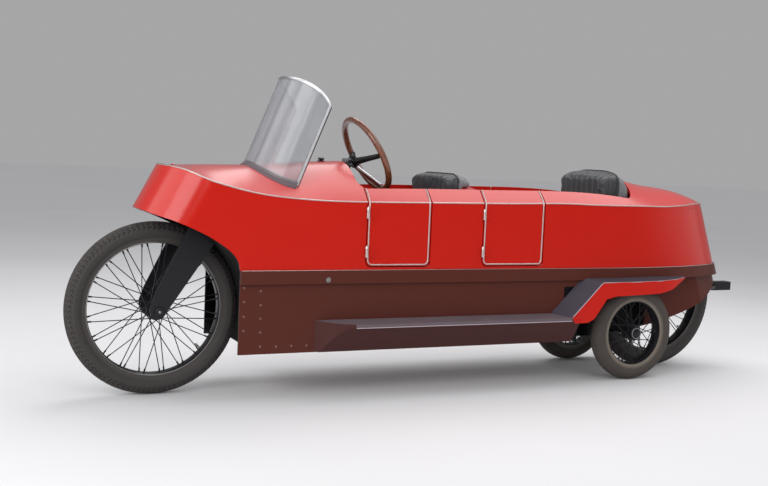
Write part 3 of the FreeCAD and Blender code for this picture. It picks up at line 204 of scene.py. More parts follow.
def carried(path: Array, profile: Array, up: Vec, closed: bool = False) -> Patch:
    """A closed profile carried along a path.

    At each point the profile's first axis is the cross product of up and the path's
    direction, and its second is the cross product of the direction and the first.

    Args:
        path: (n, 3) points.
        profile: (m, 2) points, in turn round the section.
        up: a direction that the path never follows.
        closed: whether the path's end meets its start.

    Returns:
        The tube, with flat ends if the path is open.
    """
    ahead = np.roll(path, -1, 0) - np.roll(path, 1, 0) if closed else np.gradient(path, axis=0)
    along = unit(ahead)
    first = unit(np.cross(np.asarray(up, float)[None, :], along))
    second = np.cross(along, first)
    points = (path[:, None] + profile[None, :, :1] * first[:, None]
              + profile[None, :, 1:] * second[:, None])
    tube = lattice(points, True, closed)
    return tube.outward() if closed else tube.capped(len(profile))


def circle(radius: float, count: int = 10, flat: float = 1.0) -> Array:
    """Points round an ellipse whose second half-axis is flat times the radius."""
    turn = full_turn(count)
    return np.stack([radius * np.cos(turn), radius * flat * np.sin(turn)], -1)


def turned(profile: Sequence, centre: Vec, axis: Vec, count: int = 32) -> Patch:
    """A profile of (radius, distance along the axis) turned round an axis.

    Args:
        profile: points from one end to the other; a flat face closes each end.
        centre: a point of the axis.
        axis: its direction.
        count: faces round it.

    Returns:
        The surface.
    """
    rows = np.asarray(profile, float)
    way = Vector(axis).normalized()
    side = way.orthogonal().normalized()
    turn = full_turn(count)[:, None]
    ring = np.cos(turn) * np.array(side) + np.sin(turn) * np.array(way.cross(side))
    points = (np.asarray(centre, float) + rows[:, None, :1] * ring[None]
              + rows[:, None, 1:] * np.array(way))
    return lattice(points, True, False).capped(count)


def dome(centre: Vec, axis: Vec, radius: float, height: float) -> Patch:
    """A rivet's head: a quarter ellipse turned round an axis, with a closed foot.

    Args:
        centre: the middle of the head's foot.
        axis: where the head points.
        radius: the foot's radius.
        height: the head's height over its foot, which goes 0.3 of it deeper.

    Returns:
        The surface.
    """
    lift = np.linspace(0, math.pi / 2 * 0.96, 5)
    rows = np.stack([radius * np.cos(lift), height * np.sin(lift)], -1)
    return turned(np.vstack([[radius, -0.3 * height], rows]), centre, axis, 12)


def rod(start: Vec, end: Vec, radius: float, count: int = 12) -> Patch:
    """A straight round bar whose ends are broken by a quarter of its radius.

    Args:
        start: the middle of one end.
        end: the middle of the other end.
        radius: the bar's radius.
        count: faces round it.

    Returns:
        The surface.
    """
    way = np.asarray(end, float) - np.asarray(start, float)
    length = float(np.linalg.norm(way))
    edge = min(radius * 0.25, length * 0.2)
    rows = [(radius - edge, 0), (radius, edge), (radius, length - edge), (radius - edge, length)]
    return turned(rows, start, way, count)


def nut(centre: Vec, axis: Vec, radius: float, height: float) -> Patch:
    """A six-sided nut with chamfered corners, as wide and high as given."""
    rows = [(radius * 0.9, 0), (radius, height * 0.12), (radius, height * 0.85),
            (radius * 0.86, height)]
    return turned(rows, centre, axis, 6)


def slab(low: Vec, high: Vec, edge: float) -> Patch:
    """A box with chamfered edges, as a stack of rectangles with cut corners.

    Args:
        low: lowest corner.
        high: highest corner.
        edge: width of the chamfer.

    Returns:
        The surface.
    """
    low, high = np.asarray(low, float), np.asarray(high, float)
    middle, half = (low + high) / 2, (high - low) / 2

    def ring(inset: float, height: float) -> Array:
        """Eight points of a rectangle with cut corners."""
        x, y = half[0] - inset, half[1] - inset
        flat = np.array([[x, y - edge], [x - edge, y], [edge - x, y], [-x, y - edge],
                         [-x, edge - y], [edge - x, -y], [x - edge, -y], [x, edge - y]])
        return np.column_stack([flat + middle[:2], np.full(8, height)])

    rows = np.stack([ring(edge, low[2]), ring(0, low[2] + edge), ring(0, high[2] - edge),
                     ring(edge, high[2])])
    return lattice(rows, True, False).capped(8)


def superblock(low: Vec, high: Vec, power: float, cuts: int) -> Patch:
    """A pillow between two corners: |x|^n + |y|^n + |z|^n = 1 over a divided cube.

    Args:
        low: lowest corner.
        high: highest corner.
        power: n, larger for squarer forms.
        cuts: cuts along each edge of the cube.

    Returns:
        The closed surface.
    """
    bm = bmesh.new()
    bmesh.ops.create_cube(bm, size=2.0)
    bmesh.ops.subdivide_edges(bm, edges=bm.edges[:], cuts=cuts, use_grid_fill=True)
    mesh = bpy.data.meshes.new("pillow")
    bm.to_mesh(mesh)
    bm.free()
    points = vectors_of(mesh.vertices, "co")
    faces = [tuple(face.vertices) for face in mesh.polygons]
    bpy.data.meshes.remove(mesh)
    points = points / ((np.abs(points) ** power).sum(1) ** (1 / power))[:, None]
    low, high = np.asarray(low, float), np.asarray(high, float)
    return Patch((low + high) / 2 + points * (high - low) / 2, faces)


def vectors_of(items: bpy.types.bpy_prop_collection, name: str) -> Array:
    """A vector attribute of a mesh's items as an (n, 3) array."""
    values = np.empty(len(items) * 3)
    items.foreach_get(name, values)
    return values.reshape(-1, 3)


def joined(patches: Sequence[Patch]) -> Patch:
    """Several surfaces as one, each face's numbers raised by the points before it."""
    offsets = np.cumsum([0] + [len(patch.points) for patch in patches])
    faces = [tuple(int(i + shift) for i in face)
             for patch, shift in zip(patches, offsets) for face in patch.faces]
    return Patch(np.vstack([patch.points for patch in patches]), faces)


def linked(name: str, data: bpy.types.ID) -> Object:
    """A new object at the origin, linked to the scene."""
    made = bpy.data.objects.new(name, data)
    bpy.context.scene.collection.objects.link(made)
    return made


def meshed(name: str, patch: Patch) -> Object:
    """A surface as a new mesh object."""
    mesh = bpy.data.meshes.new(name)
    mesh.from_pydata(patch.points.tolist(), [], patch.faces)
    return linked(name, mesh)


def piece(name: str, patches: Sequence[Patch], material: Material,
          body: str = "car", crease: float = 38.0) -> Object:
    """Joins surfaces into one object that rides on a body.

    Args:
        name: the piece's name.
        patches: its surfaces, placed in the car's frame.
        material: its finish.
        body: the body that it moves with.
        crease: edges sharper than this many degrees stay sharp.

    Returns:
        The object.
    """
    made = meshed(name, joined(patches))
    settle(made, material, body)
    made.data.set_sharp_from_angle(angle=math.radians(crease))
    return made


def settle(made: Object, material: Material, body: str) -> None:
    """Smooths an object and gives it its one finish and its body.

    Args:
        made: the object.
        material: its finish.
        body: the body that it moves with.
    """
    mesh = made.data
    mesh.polygons.foreach_set("use_smooth", np.ones(len(mesh.polygons), bool))
    mesh.materials.clear()
    mesh.materials.append(material)
    mesh.update()
    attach(made, body)
    log.info("%s: %d faces on %s", made.name, len(mesh.polygons), body)


def dress(material: Material, *names: str) -> None:
    """Gives CAD nodes a finish."""
    for name in names:
        slots = NODES[name].material_slots
        if not slots:
            NODES[name].data.materials.append(material)
        for entry in slots:
            entry.material = material


# Shared shader groups


class Wiring:
    """A node tree with short ways to add and join nodes."""

    def __init__(self, tree: Tree) -> None:
        """Keeps the tree."""
        self.tree = tree

    def feed(self, node: Node, inputs: dict) -> Node:
        """Links or sets inputs of a node.

        Args:
            node: the node.
            inputs: output sockets to link or values to set, by input name or number.

        Returns:
            The same node.
        """
        for key, value in inputs.items():
            if isinstance(value, Socket):
                self.tree.links.new(value, node.inputs[key])
            else:
                node.inputs[key].default_value = value
        return node

    def add(self, kind: str, inputs: Optional[dict] = None, **settings: object) -> Node:
        """A new node.

        Args:
            kind: the node's type.
            inputs: values or output sockets by input name or number.
            **settings: the node's own properties.

        Returns:
            The node.
        """
        node = self.tree.nodes.new(kind)
        for key, value in settings.items():
            setattr(node, key, value)
        return self.feed(node, inputs or {})

    def math(self, operation: str, first: object, second: object = 0.0,
             clamp: bool = False) -> Socket:
        """The output of a Math node."""
        return self.add("ShaderNodeMath", {0: first, 1: second}, operation=operation,
                        use_clamp=clamp).outputs[0]

    def times(self, first: object, second: object, clamp: bool = False) -> Socket:
        """One value times another."""
        return self.math("MULTIPLY", first, second, clamp)

    def plus(self, first: object, second: object, clamp: bool = False) -> Socket:
        """One value added to another."""
        return self.math("ADD", first, second, clamp)

    def minus(self, first: object, second: object) -> Socket:
        """One value less another."""
        return self.math("SUBTRACT", first, second)

    def vector(self, operation: str, first: object, second: object = (0.0, 0.0, 0.0)) -> Outputs:
        """The outputs of a Vector Math node: a vector, then a value."""
        return self.add("ShaderNodeVectorMath", {0: first, 1: second}, operation=operation).outputs

    def place(self) -> Socket:
        """The shaded point's place in the car's frame."""
        return self.add("ShaderNodeTexCoord").outputs["Object"]

    def parts(self, vector: Socket) -> Outputs:
        """The X, Y and Z of a vector."""
        return self.add("ShaderNodeSeparateXYZ", {0: vector}).outputs

    def shape(self, output: str) -> Socket:
        """An output of the Geometry node, such as the normal."""
        return self.add("ShaderNodeNewGeometry").outputs[output]

    def blend(self, factor: object, first: object, second: object) -> Socket:
        """The colour between two colours."""
        return self.add("ShaderNodeMix", {0: factor, 6: first, 7: second},
                        data_type="RGBA").outputs[2]

    def noise(self, vector: object, scale: object, detail: float = 3.0,
              roughness: float = 0.55) -> Socket:
        """The value of a noise texture."""
        return self.add("ShaderNodeTexNoise", {"Vector": vector, "Scale": scale, "Detail": detail,
                                               "Roughness": roughness}).outputs["Fac"]

    def between(self, value: object, low: object, high: object) -> Socket:
        """A value mapped from low..high to 0..1, smoothly and within it."""
        return self.add("ShaderNodeMapRange", {"Value": value, "From Min": low, "From Max": high},
                        interpolation_type="SMOOTHSTEP").outputs[0]

    def clouds(self, vector: object, scale: object, detail: float, low: float,
               high: float, roughness: float = 0.55) -> Socket:
        """Noise spread from low..high to 0..1, as soft patches."""
        return self.between(self.noise(vector, scale, detail, roughness), low, high)


FLOAT, COLOR = "NodeSocketFloat", "NodeSocketColor"


def new_group(name: str, inputs: dict, outputs: dict) -> tuple:
    """An empty shader group.

    Args:
        name: the group's name.
        inputs: default values by name; one of four numbers is a colour.
        outputs: socket kinds by name.

    Returns:
        The tree, its wiring, the input sockets and the output node.
    """
    tree = bpy.data.node_groups.new(name, "ShaderNodeTree")
    for label, value in inputs.items():
        kind = COLOR if isinstance(value, tuple) else FLOAT
        tree.interface.new_socket(label, in_out="INPUT", socket_type=kind).default_value = value
    for label, kind in outputs.items():
        tree.interface.new_socket(label, in_out="OUTPUT", socket_type=kind)
    w = Wiring(tree)
    return tree, w, w.add("NodeGroupInput").outputs, w.add("NodeGroupOutput")


class Hollow(Enum):
    """Hollows of the body whose walls get black painted shade."""

    ARCH = "front_arch"
    WELL = "wheel_well"


class Effects:
    """The shader groups that several finishes use, each built once."""

    def __init__(self) -> None:
        """Builds the groups."""
        self.drift = self.tone_drift()
        self.dust = self.road_dust()
        self.upward = self.facing_up()
        self.hollows = {Hollow.ARCH: self.front_arch(), Hollow.WELL: self.wheel_well()}
        self.grain = self.hide_grain()
        self.wood = self.wood_grain()

    @staticmethod
    def tone_drift() -> Tree:
        """A colour that wanders a little over the surface, large and small."""
        tree, w, given, out = new_group(
            "tone_drift", {"Color": (0.5, 0.5, 0.5, 1), "Amount": 0.1, "Scale": 4.0},
            {"Color": COLOR, "Mask": FLOAT})
        place = w.place()
        broad = w.noise(place, given["Scale"], detail=4.0)
        fine = w.noise(place, w.times(given["Scale"], 11.0), detail=2.0)
        mask = w.plus(w.times(broad, 0.7), w.times(fine, 0.3))
        level = w.plus(w.times(w.minus(mask, 0.5), given["Amount"]), 1.0)
        scaled = w.add("ShaderNodeVectorMath", {0: given["Color"]}, operation="SCALE")
        w.feed(scaled, {"Scale": level})
        w.feed(out, {"Color": scaled.outputs[0], "Mask": mask})
        return tree

    @staticmethod
    def road_dust() -> Tree:
        """More dust low down and on faces that look up."""
        tree, w, given, out = new_group(
            "road_dust", {"Amount": 0.3, "Height": 0.45, "Scale": 9.0}, {"Mask": FLOAT})
        place = w.place()
        low = w.between(w.parts(place)[2], given["Height"], 0.02)
        up = w.between(w.parts(w.shape("Normal"))[2], 0.3, 1.0)
        seat = w.plus(low, w.times(up, 0.25), clamp=True)
        cloud = w.clouds(place, given["Scale"], 6.0, 0.35, 0.75, roughness=0.65)
        w.feed(out, {"Mask": w.times(w.times(seat, cloud), given["Amount"], clamp=True)})
        return tree

    @staticmethod
    def facing_up() -> Tree:
        """Faces that look up or forward past a limit."""
        tree, w, given, out = new_group(
            "facing_up", {"Low": 0.26, "High": 0.34, "Ahead": 2.0}, {"Mask": FLOAT})
        parts = w.parts(w.shape("Normal"))
        up = w.between(parts[2], given["Low"], given["High"])
        ahead = w.math("GREATER_THAN", parts[0], given["Ahead"])
        w.feed(out, {"Mask": w.math("MAXIMUM", up, ahead)})
        return tree

    @staticmethod
    def wheel_well() -> Tree:
        """What lies below a height between two places along the car, round the small wheels, as a
        mask for black painted shade.
        """
        tree, w, given, out = new_group(
            Hollow.WELL.value, {"Front": -0.485, "Rear": -1.03, "Top": 0.45}, {"Mask": FLOAT})
        x, _, z = w.parts(w.place())
        along = w.times(w.math("LESS_THAN", x, given["Front"]),
                        w.math("GREATER_THAN", x, given["Rear"]))
        w.feed(out, {"Mask": w.times(along, w.math("LESS_THAN", z, given["Top"]))})
        return tree

    @staticmethod
    def front_arch() -> Tree:
        """The inside of the nose and of the tub's front end, over the front wheel, as a mask for
        black painted shade.

        A point is inside where (dx / a)^2 + (y / b)^2 < 1, with dx its distance ahead of
        the nose's rounding, whose place shifts with height. Faces that look up are left
        out and faces that look down are taken in.
        """
        tree, w, given, out = new_group(
            Hollow.ARCH.value, {"Start": 0.945, "Middle": 1.6377, "Slope": 0.525, "Reach": 0.191,
                                "Half": 0.2530, "Upward": 0.25, "Downward": -0.35},
            {"Mask": FLOAT})
        x, y, z = w.parts(w.place())
        middle = w.minus(given["Middle"], w.times(z, given["Slope"]))
        ahead = w.math("MAXIMUM", w.minus(x, middle), 0.0)
        round_part = w.math("POWER", w.math("DIVIDE", ahead, given["Reach"]), 2.0)
        flat_part = w.math("POWER", w.math("DIVIDE", y, given["Half"]), 2.0)
        inside = w.math("LESS_THAN", w.plus(round_part, flat_part), 1.0)
        rise = w.parts(w.shape("True Normal"))[2]
        inside = w.times(inside, w.math("LESS_THAN", rise, given["Upward"]))
        below = w.math("LESS_THAN", rise, given["Downward"])
        w.feed(out, {"Mask": w.times(w.math("MAXIMUM", inside, below),
                                     w.math("GREATER_THAN", x, given["Start"]))})
        return tree

    @staticmethod
    def hide_grain() -> Tree:
        """Small cells and creases, as in leather."""
        tree, w, given, out = new_group("hide_grain", {"Scale": 400.0},
                                        {"Height": FLOAT, "Crease": FLOAT})
        place = w.place()
        cells = w.add("ShaderNodeTexVoronoi", {"Vector": place, "Scale": given["Scale"]},
                      feature="DISTANCE_TO_EDGE").outputs["Distance"]
        small = w.noise(place, given["Scale"])
        w.feed(out, {"Height": w.plus(w.times(cells, 0.8), w.times(small, 0.3)),
                     "Crease": w.clouds(place, 14.0, 6.0, 0.4, 0.62, roughness=0.7)})
        return tree

    @staticmethod
    def wood_grain() -> Tree:
        """Long streaks with darker pores."""
        tree, w, given, out = new_group(
            "wood_grain", {"Dark": (0.1, 0.03, 0.01, 1), "Light": (0.4, 0.2, 0.1, 1),
                           "Scale": 12.0}, {"Color": COLOR, "Height": FLOAT})
        stretched = w.add("ShaderNodeMapping",
                          {"Vector": w.place(), "Scale": (1.0, 5.0, 1.6)}).outputs[0]
        streak = w.clouds(stretched, given["Scale"], 8.0, 0.3, 0.7, roughness=0.65)
        wave = w.add("ShaderNodeTexWave", {"Vector": stretched, "Scale": given["Scale"],
                                           "Distortion": 7.0, "Detail": 3.0}).outputs["Fac"]
        mask = w.plus(w.times(streak, 0.6), w.times(wave, 0.4))
        w.feed(out, {"Color": w.blend(mask, given["Dark"], given["Light"]), "Height": mask})
        return tree


EFFECTS = Effects()


# Finishes


def shader(name: str) -> tuple:
    """A new material, its wiring and its Principled node."""
    made = bpy.data.materials.new(name)
    made.use_nodes = True
    return made, Wiring(made.node_tree), made.node_tree.nodes["Principled BSDF"]


def group(w: Wiring, tree: Tree, **inputs: object) -> Outputs:
    """The outputs of a shader group placed in a material with its own values."""
    return w.feed(w.add("ShaderNodeGroup", node_tree=tree), inputs).outputs


def relief(w: Wiring, height: Socket, depth: float, strength: float) -> Socket:
    """The normal that a height gives."""
    return w.add("ShaderNodeBump", {"Height": height, "Distance": depth,
                                    "Strength": strength}).outputs[0]


def rgba(color: Vec) -> tuple:
    """A colour with full alpha."""
    return (*color, 1.0)


# The first colour is near black, for painted shade in hollows, in the front wheel housing and in
# the tail holes; the second is the running boards' top covering.
PAINTED_SHADE, STEP_TOP = (0.003, 0.003, 0.004), (0.115, 0.088, 0.100)


@dataclass(frozen=True)
class Finish:
    """A finish, built as a material once its own wiring is known."""

    name: str

    def build(self) -> Material:
        """A new material whose Principled node takes the finish's inputs."""
        made, w, main = shader(self.name)
        w.feed(main, self.inputs(w))
        return made

    def inputs(self, w: Wiring) -> dict:
        """Wires the finish.

        Args:
            w: the material's wiring.

        Returns:
            The Principled node's inputs, as sockets or values by name.
        """
        raise NotImplementedError


@dataclass(frozen=True)
class Paint(Finish):
    """Sprayed paint, with an optional paler painted highlight on the deck, optional colours on tops
    and optional black painted shade in hollows.
    """

    color: tuple
    roughness: float = 0.3
    coat: float = 0.4
    drift: float = 0.12
    dust: float = 0.25
    dust_color: tuple = (0.28, 0.23, 0.19)
    dust_height: float = 0.45
    # hollows whose faces get black painted shade
    shade_in_hollows: tuple = ()
    top_color: Optional[tuple] = None
    top_roughness: float = 0.6
    top_ahead: float = 2.0
    # a paler pink for the deck: painted highlight, standing for the reflection of the lights above
    deck_highlight_color: Optional[tuple] = None
    deck_highlight_slopes: tuple = (0.5, 0.62)
    coat_slopes: tuple = (0.03, 0.20)
    gloss: float = 0.22
    coat_roughness: float = 0.12

    def inputs(self, w: Wiring) -> dict:
        """The inputs for drifting colour, dust low down and a fine ripple.

        The deck's painted highlight, a paler pink for the reflection of the lights above, sets in
        between two slopes, and its coat grows to full there.
        """
        tone = group(w, EFFECTS.drift, Color=rgba(self.color), Amount=self.drift, Scale=3.0)
        color, coat = tone["Color"], self.coat
        rough = w.plus(w.times(tone["Mask"], 0.14), self.roughness - 0.07)
        if self.top_color is not None:
            up = group(w, EFFECTS.upward, Ahead=self.top_ahead)["Mask"]
            top = group(w, EFFECTS.drift, Color=rgba(self.top_color), Amount=0.5, Scale=9.0)
            color = w.blend(up, color, top["Color"])
            rough = w.plus(rough, w.times(up, self.top_roughness - self.roughness))
        dusty = group(w, EFFECTS.dust, Amount=self.dust, Height=self.dust_height)["Mask"]
        color = w.blend(dusty, color, rgba(self.dust_color))
        # black painted shade over each masked hollow
        for hollow in self.shade_in_hollows:
            color = w.blend(group(w, EFFECTS.hollows[hollow])["Mask"], color, rgba(PAINTED_SHADE))
        # painted highlight: faces that look up get the paler pink of the lights' reflection
        if self.deck_highlight_color is not None:
            deck, lean = (group(w, EFFECTS.upward, Low=low, High=high)["Mask"]
                          for low, high in (self.deck_highlight_slopes, self.coat_slopes))
            color = w.blend(deck, color, rgba(self.deck_highlight_color))
            coat = w.plus(w.times(lean, 1.0 - self.coat), self.coat)
        place = w.place()
        ripple = w.plus(w.noise(place, 9.0, detail=2.0), w.times(w.noise(place, 260.0), 0.05))
        return {"Base Color": color, "Coat Weight": coat,
                "Roughness": w.plus(rough, w.times(dusty, 0.4), clamp=True),
                "Coat Roughness": self.coat_roughness, "Specular IOR Level": self.gloss,
                "Normal": relief(w, ripple, 0.0035, 0.35)}


@dataclass(frozen=True)
class Plating(Finish):
    """Polished or dull bare metal, with an optional painted foot."""

    color: tuple
    roughness: float = 0.2
    tarnish: tuple = (0.3, 0.25, 0.2)
    spots: float = 0.3
    foot: tuple = ()
    foot_color: tuple = STEP_TOP

    def inputs(self, w: Wiring) -> dict:
        """The inputs for metal with tarnish in patches and hairline scratches.

        With a foot of (top, fall) it is painted below the height top - fall * y^2.
        """
        place = w.place()
        stain = w.times(w.clouds(place, 22.0, 6.0, 0.48, 0.75, roughness=0.7), self.spots)
        color, metal = w.blend(stain, rgba(self.color), rgba(self.tarnish)), 1.0
        if self.foot:
            top, fall = self.foot
            _, y, z = w.parts(place)
            painted = w.math("LESS_THAN", z, w.minus(top, w.times(w.times(y, y), fall)))
            color = w.blend(painted, color, rgba(self.foot_color))
            metal = w.minus(1.0, painted)
        brushed = w.add("ShaderNodeMapping", {"Vector": place, "Scale": (40.0, 40.0, 400.0)})
        fine = w.noise(brushed.outputs[0], 3.0, detail=2.0)
        rough = w.plus(w.times(fine, 0.12), self.roughness - 0.05)
        return {"Base Color": color, "Metallic": metal,
                "Roughness": w.plus(rough, w.times(stain, 0.4), clamp=True),
                "Normal": relief(w, fine, 0.0004, 0.3)}


@dataclass(frozen=True)
class Rubber(Finish):
    """Tyre rubber, dusty on the tread, paler towards the rim as a painted highlight and darker in
    the tread's grooves as painted shade.
    """

    color: tuple
    # the paler colour near the rim is a painted highlight on the inner sidewall
    rim_highlight_color: tuple
    dust_color: tuple
    centre: tuple
    form: WheelForm
    # near black painted shade for the tread's grooves
    groove_shade_color: tuple = (0.008, 0.007, 0.007)

    def inputs(self, w: Wiring) -> dict:
        """The inputs for colour by distance from the wheel's centre, paler near the rim as a
        painted highlight and darker in the grooves as painted shade, with specks and ripples.
        """
        tread, rim = self.form.radius, self.form.rim
        place = w.place()
        local = w.vector("SUBTRACT", place, self.centre)[0]
        flat = w.vector("MULTIPLY", local, (1.0, 0.0, 1.0))[0]
        far = w.vector("LENGTH", flat)[1]
        # painted highlight: a paler band near the rim
        bead = w.between(far, rim + 0.020, rim + 0.002)
        tone = group(w, EFFECTS.drift, Color=rgba(self.color), Amount=0.35, Scale=12.0)
        color = w.blend(w.times(bead, 0.8), tone["Color"], rgba(self.rim_highlight_color))
        outer = w.between(far, tread - 0.022, tread - 0.002)
        cloud = w.clouds(place, 24.0, 6.0, 0.35, 0.7, roughness=0.7)
        dusty = w.times(w.plus(w.times(outer, 0.75), 0.2), cloud)
        color = w.blend(w.times(dusty, 0.55), color, rgba(self.dust_color))
        # painted shade: recesses of the tread, found by pointiness, darkened near the tread
        deep = w.times(w.between(w.shape("Pointiness"), 0.492, 0.455),
                       w.between(far, tread - 0.040, tread - 0.030))
        color = w.blend(w.times(deep, 0.9), color, rgba(self.groove_shade_color))
        ridges = w.add("ShaderNodeTexWave", {"Vector": flat, "Scale": 70.0, "Distortion": 0.3},
                       wave_type="RINGS", rings_direction="Y").outputs["Fac"]
        height = w.plus(w.times(ridges, 0.2), w.noise(place, 420.0, detail=4.0))
        return {"Base Color": color, "Roughness": w.plus(w.times(cloud, 0.18), 0.66),
                "Specular IOR Level": 0.35, "Normal": relief(w, height, 0.0006, 0.5)}


@dataclass(frozen=True)
class Leather(Finish):
    """Seat leather with grain, creases and rubbed high spots."""

    color: tuple = (0.030, 0.031, 0.035)
    rubbed: tuple = (0.085, 0.088, 0.095)
    roughness: float = 0.42
    split: float = -9.0
    back_color: tuple = (0.15, 0.147, 0.158)

    def inputs(self, w: Wiring) -> dict:
        """The inputs for grain as bump, creases darker, high spots paler.

        It has the back's colour where X is less than the split.
        """
        tone = group(w, EFFECTS.drift, Color=rgba(self.color), Amount=0.6, Scale=7.0)
        hide = group(w, EFFECTS.grain, Scale=340.0)
        high = w.between(w.shape("Pointiness"), 0.5, 0.56)
        color = w.blend(w.times(high, 0.35), tone["Color"], rgba(self.rubbed))
        color = w.blend(w.times(hide["Crease"], 0.25), color, rgba(self.color))
        behind = w.math("LESS_THAN", w.parts(w.place())[0], self.split)
        color = w.blend(behind, color, rgba(self.back_color))
        height = w.plus(hide["Height"], w.times(hide["Crease"], 0.8))
        return {"Base Color": color,
                "Roughness": w.plus(w.times(hide["Height"], 0.25), self.roughness),
                "Coat Weight": 0.12, "Coat Roughness": 0.35,
                "Normal": relief(w, height, 0.0012, 0.6)}


@dataclass(frozen=True)
class Timber(Finish):
    """Varnished or oiled wood."""

    dark: tuple
    light: tuple
    scale: float
    roughness: float
    coat: float

    def inputs(self, w: Wiring) -> dict:
        """The inputs for streaked colour, pores as bump and a coat of varnish."""
        wood = group(w, EFFECTS.wood, Dark=rgba(self.dark), Light=rgba(self.light),
                     Scale=self.scale)
        tone = group(w, EFFECTS.drift, Color=wood["Color"], Amount=0.3, Scale=6.0)
        return {"Base Color": tone["Color"],
                "Roughness": w.plus(w.times(wood["Height"], 0.2), self.roughness - 0.1),
                "Coat Weight": self.coat, "Coat Roughness": 0.1,
                "Normal": relief(w, wood["Height"], 0.0006, 0.4)}


@dataclass(frozen=True)
class Pane(Finish):
    """The clear bent windscreen."""

    color: tuple
    # the two colours are the light and dark of painted reflection streaks
    reflection_dark: tuple
    level: tuple = (0.927, 0.0, 0.375)
    clear: float = 0.87

    def inputs(self, w: Wiring) -> dict:
        """The inputs for greyish sheet with soft streaks of painted reflection that run up along
        it, and a little smear.

        The streaks are noise over Y and the distance along the level direction, which
        lies square to the sheet's rake.
        """
        place = w.place()
        flat = w.add("ShaderNodeCombineXYZ", {0: w.vector("DOT_PRODUCT", place, self.level)[1],
                                              1: w.parts(place)[1]}).outputs[0]
        # painted reflection: soft streaks running up the sheet, mixed with a little smear
        streak = w.clouds(flat, 13.0, 2.0, 0.34, 0.66, roughness=0.5)
        smear = w.clouds(place, 7.0, 5.0, 0.3, 0.8, roughness=0.6)
        mask = w.plus(w.times(streak, 0.8), w.times(smear, 0.2))
        return {"Base Color": w.blend(mask, rgba(self.color), rgba(self.reflection_dark)),
                "Roughness": w.plus(w.times(smear, 0.06), 0.13),
                "Transmission Weight": self.clear, "IOR": 1.35}


@dataclass(frozen=True)
class Iron(Finish):
    """Rough cast iron of the engine."""

    color: tuple
    oil_color: tuple = (0.02, 0.015, 0.01)

    def inputs(self, w: Wiring) -> dict:
        """The inputs for coarse skin with oil in patches."""
        place = w.place()
        oil = w.clouds(place, 11.0, 5.0, 0.5, 0.65)
        tone = group(w, EFFECTS.drift, Color=rgba(self.color), Amount=0.6, Scale=15.0)
        return {"Base Color": w.blend(oil, tone["Color"], rgba(self.oil_color)),
                "Roughness": w.minus(0.75, w.times(oil, 0.35)), "Metallic": 0.5,
                "Normal": relief(w, w.noise(place, 300.0, detail=4.0), 0.001, 0.8)}


SEAT_LEATHER = Leather("black_seat_leather")


class Finishes:
    """Every finish that several pieces share, built once."""

    def __init__(self) -> None:
        """Builds the materials."""
        self.red = Paint("red_body_paint", (0.460, 0.008, 0.002), roughness=0.34, coat=0.26,
                         # black painted shade inside the front arch
                         drift=0.04, dust=0.0, shade_in_hollows=(Hollow.ARCH,), gloss=0.06,
                         # the deck colour is a paler pink painted highlight, for the reflection of
                         # the lights above
                         deck_highlight_color=(0.50, 0.055, 0.052), coat_roughness=0.22).build()
        self.fender = Paint("red_fender_paint", (0.47, 0.010, 0.004), roughness=0.34, coat=0.2,
                            drift=0.04, dust=0.02, top_color=(0.055, 0.047, 0.062),
                            top_ahead=0.5, gloss=0.06).build()
        self.brown = Paint("brown_tub_paint", (0.078, 0.019, 0.013), roughness=0.38, coat=0.08,
                           drift=0.08, dust=0.03, dust_color=(0.11, 0.075, 0.065),
                           # black painted shade inside the front arch and the wheel wells
                           shade_in_hollows=(Hollow.ARCH, Hollow.WELL), gloss=0.08).build()
        self.step = Paint("brown_step_paint", (0.058, 0.020, 0.018), roughness=0.42, coat=0.06,
                          drift=0.10, dust=0.05, dust_color=(0.12, 0.09, 0.085),
                          top_color=STEP_TOP, gloss=0.1).build()
        self.edge = Paint("step_edge_paint", (0.36, 0.30, 0.33), roughness=0.4, coat=0.1,
                          drift=0.15, dust=0.05).build()
        self.black = Paint("black_chassis_paint", (0.009, 0.009, 0.011), roughness=0.36,
                           coat=0.12, drift=0.2, dust=0.10,
                           dust_color=(0.05, 0.045, 0.04)).build()
        # near-black painted shade for the inside of the front wheel housing
        self.shadow = Paint("arch_painted_shade", PAINTED_SHADE, roughness=0.6, coat=0.0, drift=0.2,
                            dust=0.05, dust_color=(0.04, 0.035, 0.03), gloss=0.12).build()
        # near-black painted shade, standing for the dark inside of the tail holes
        self.hole = Paint("hole_painted_shade", PAINTED_SHADE, roughness=0.8, coat=0.0, drift=0.1, dust=0.0,
                          gloss=0.0).build()
        self.rivet = Paint("brown_rivet_paint", (0.15, 0.065, 0.055), roughness=0.35, coat=0.3,
                           drift=0.1, dust=0.0).build()
        self.grey = Paint("grey_bracket_paint", (0.16, 0.165, 0.175), roughness=0.35, coat=0.2,
                          drift=0.2, dust=0.05).build()
        self.rubber = Paint("screen_foot_rubber", STEP_TOP, roughness=0.5, coat=0.0,
                            drift=0.25, dust=0.02).build()
        self.bright = Plating("polished_beading", (0.62, 0.53, 0.51), 0.34, spots=0.2).build()
        self.chrome = Plating("plated_trim", (0.80, 0.80, 0.83), 0.26, spots=0.05).build()
        self.steel = Plating("bare_steel", (0.30, 0.29, 0.285), 0.38).build()
        # the pane's two greys form streaks of painted reflection
        self.glass = Pane("screen_pane", (0.80, 0.81, 0.84), (0.55, 0.57, 0.60)).build()
        self.wheel_wood = Timber("steering_rim_wood", (0.085, 0.026, 0.012),
                                 (0.20, 0.065, 0.028), scale=30.0, roughness=0.3,
                                 coat=0.6).build()
        self.boards = Timber("cabin_boards", (0.10, 0.05, 0.025), (0.26, 0.15, 0.08),
                             scale=9.0, roughness=0.55, coat=0.1).build()
        self.leather = SEAT_LEATHER.build()
        self.piping = Leather("seat_piping", (0.012, 0.012, 0.014), (0.04, 0.04, 0.045),
                              roughness=0.35).build()
        self.iron = Iron("engine_iron", (0.11, 0.11, 0.11)).build()


# The body's form


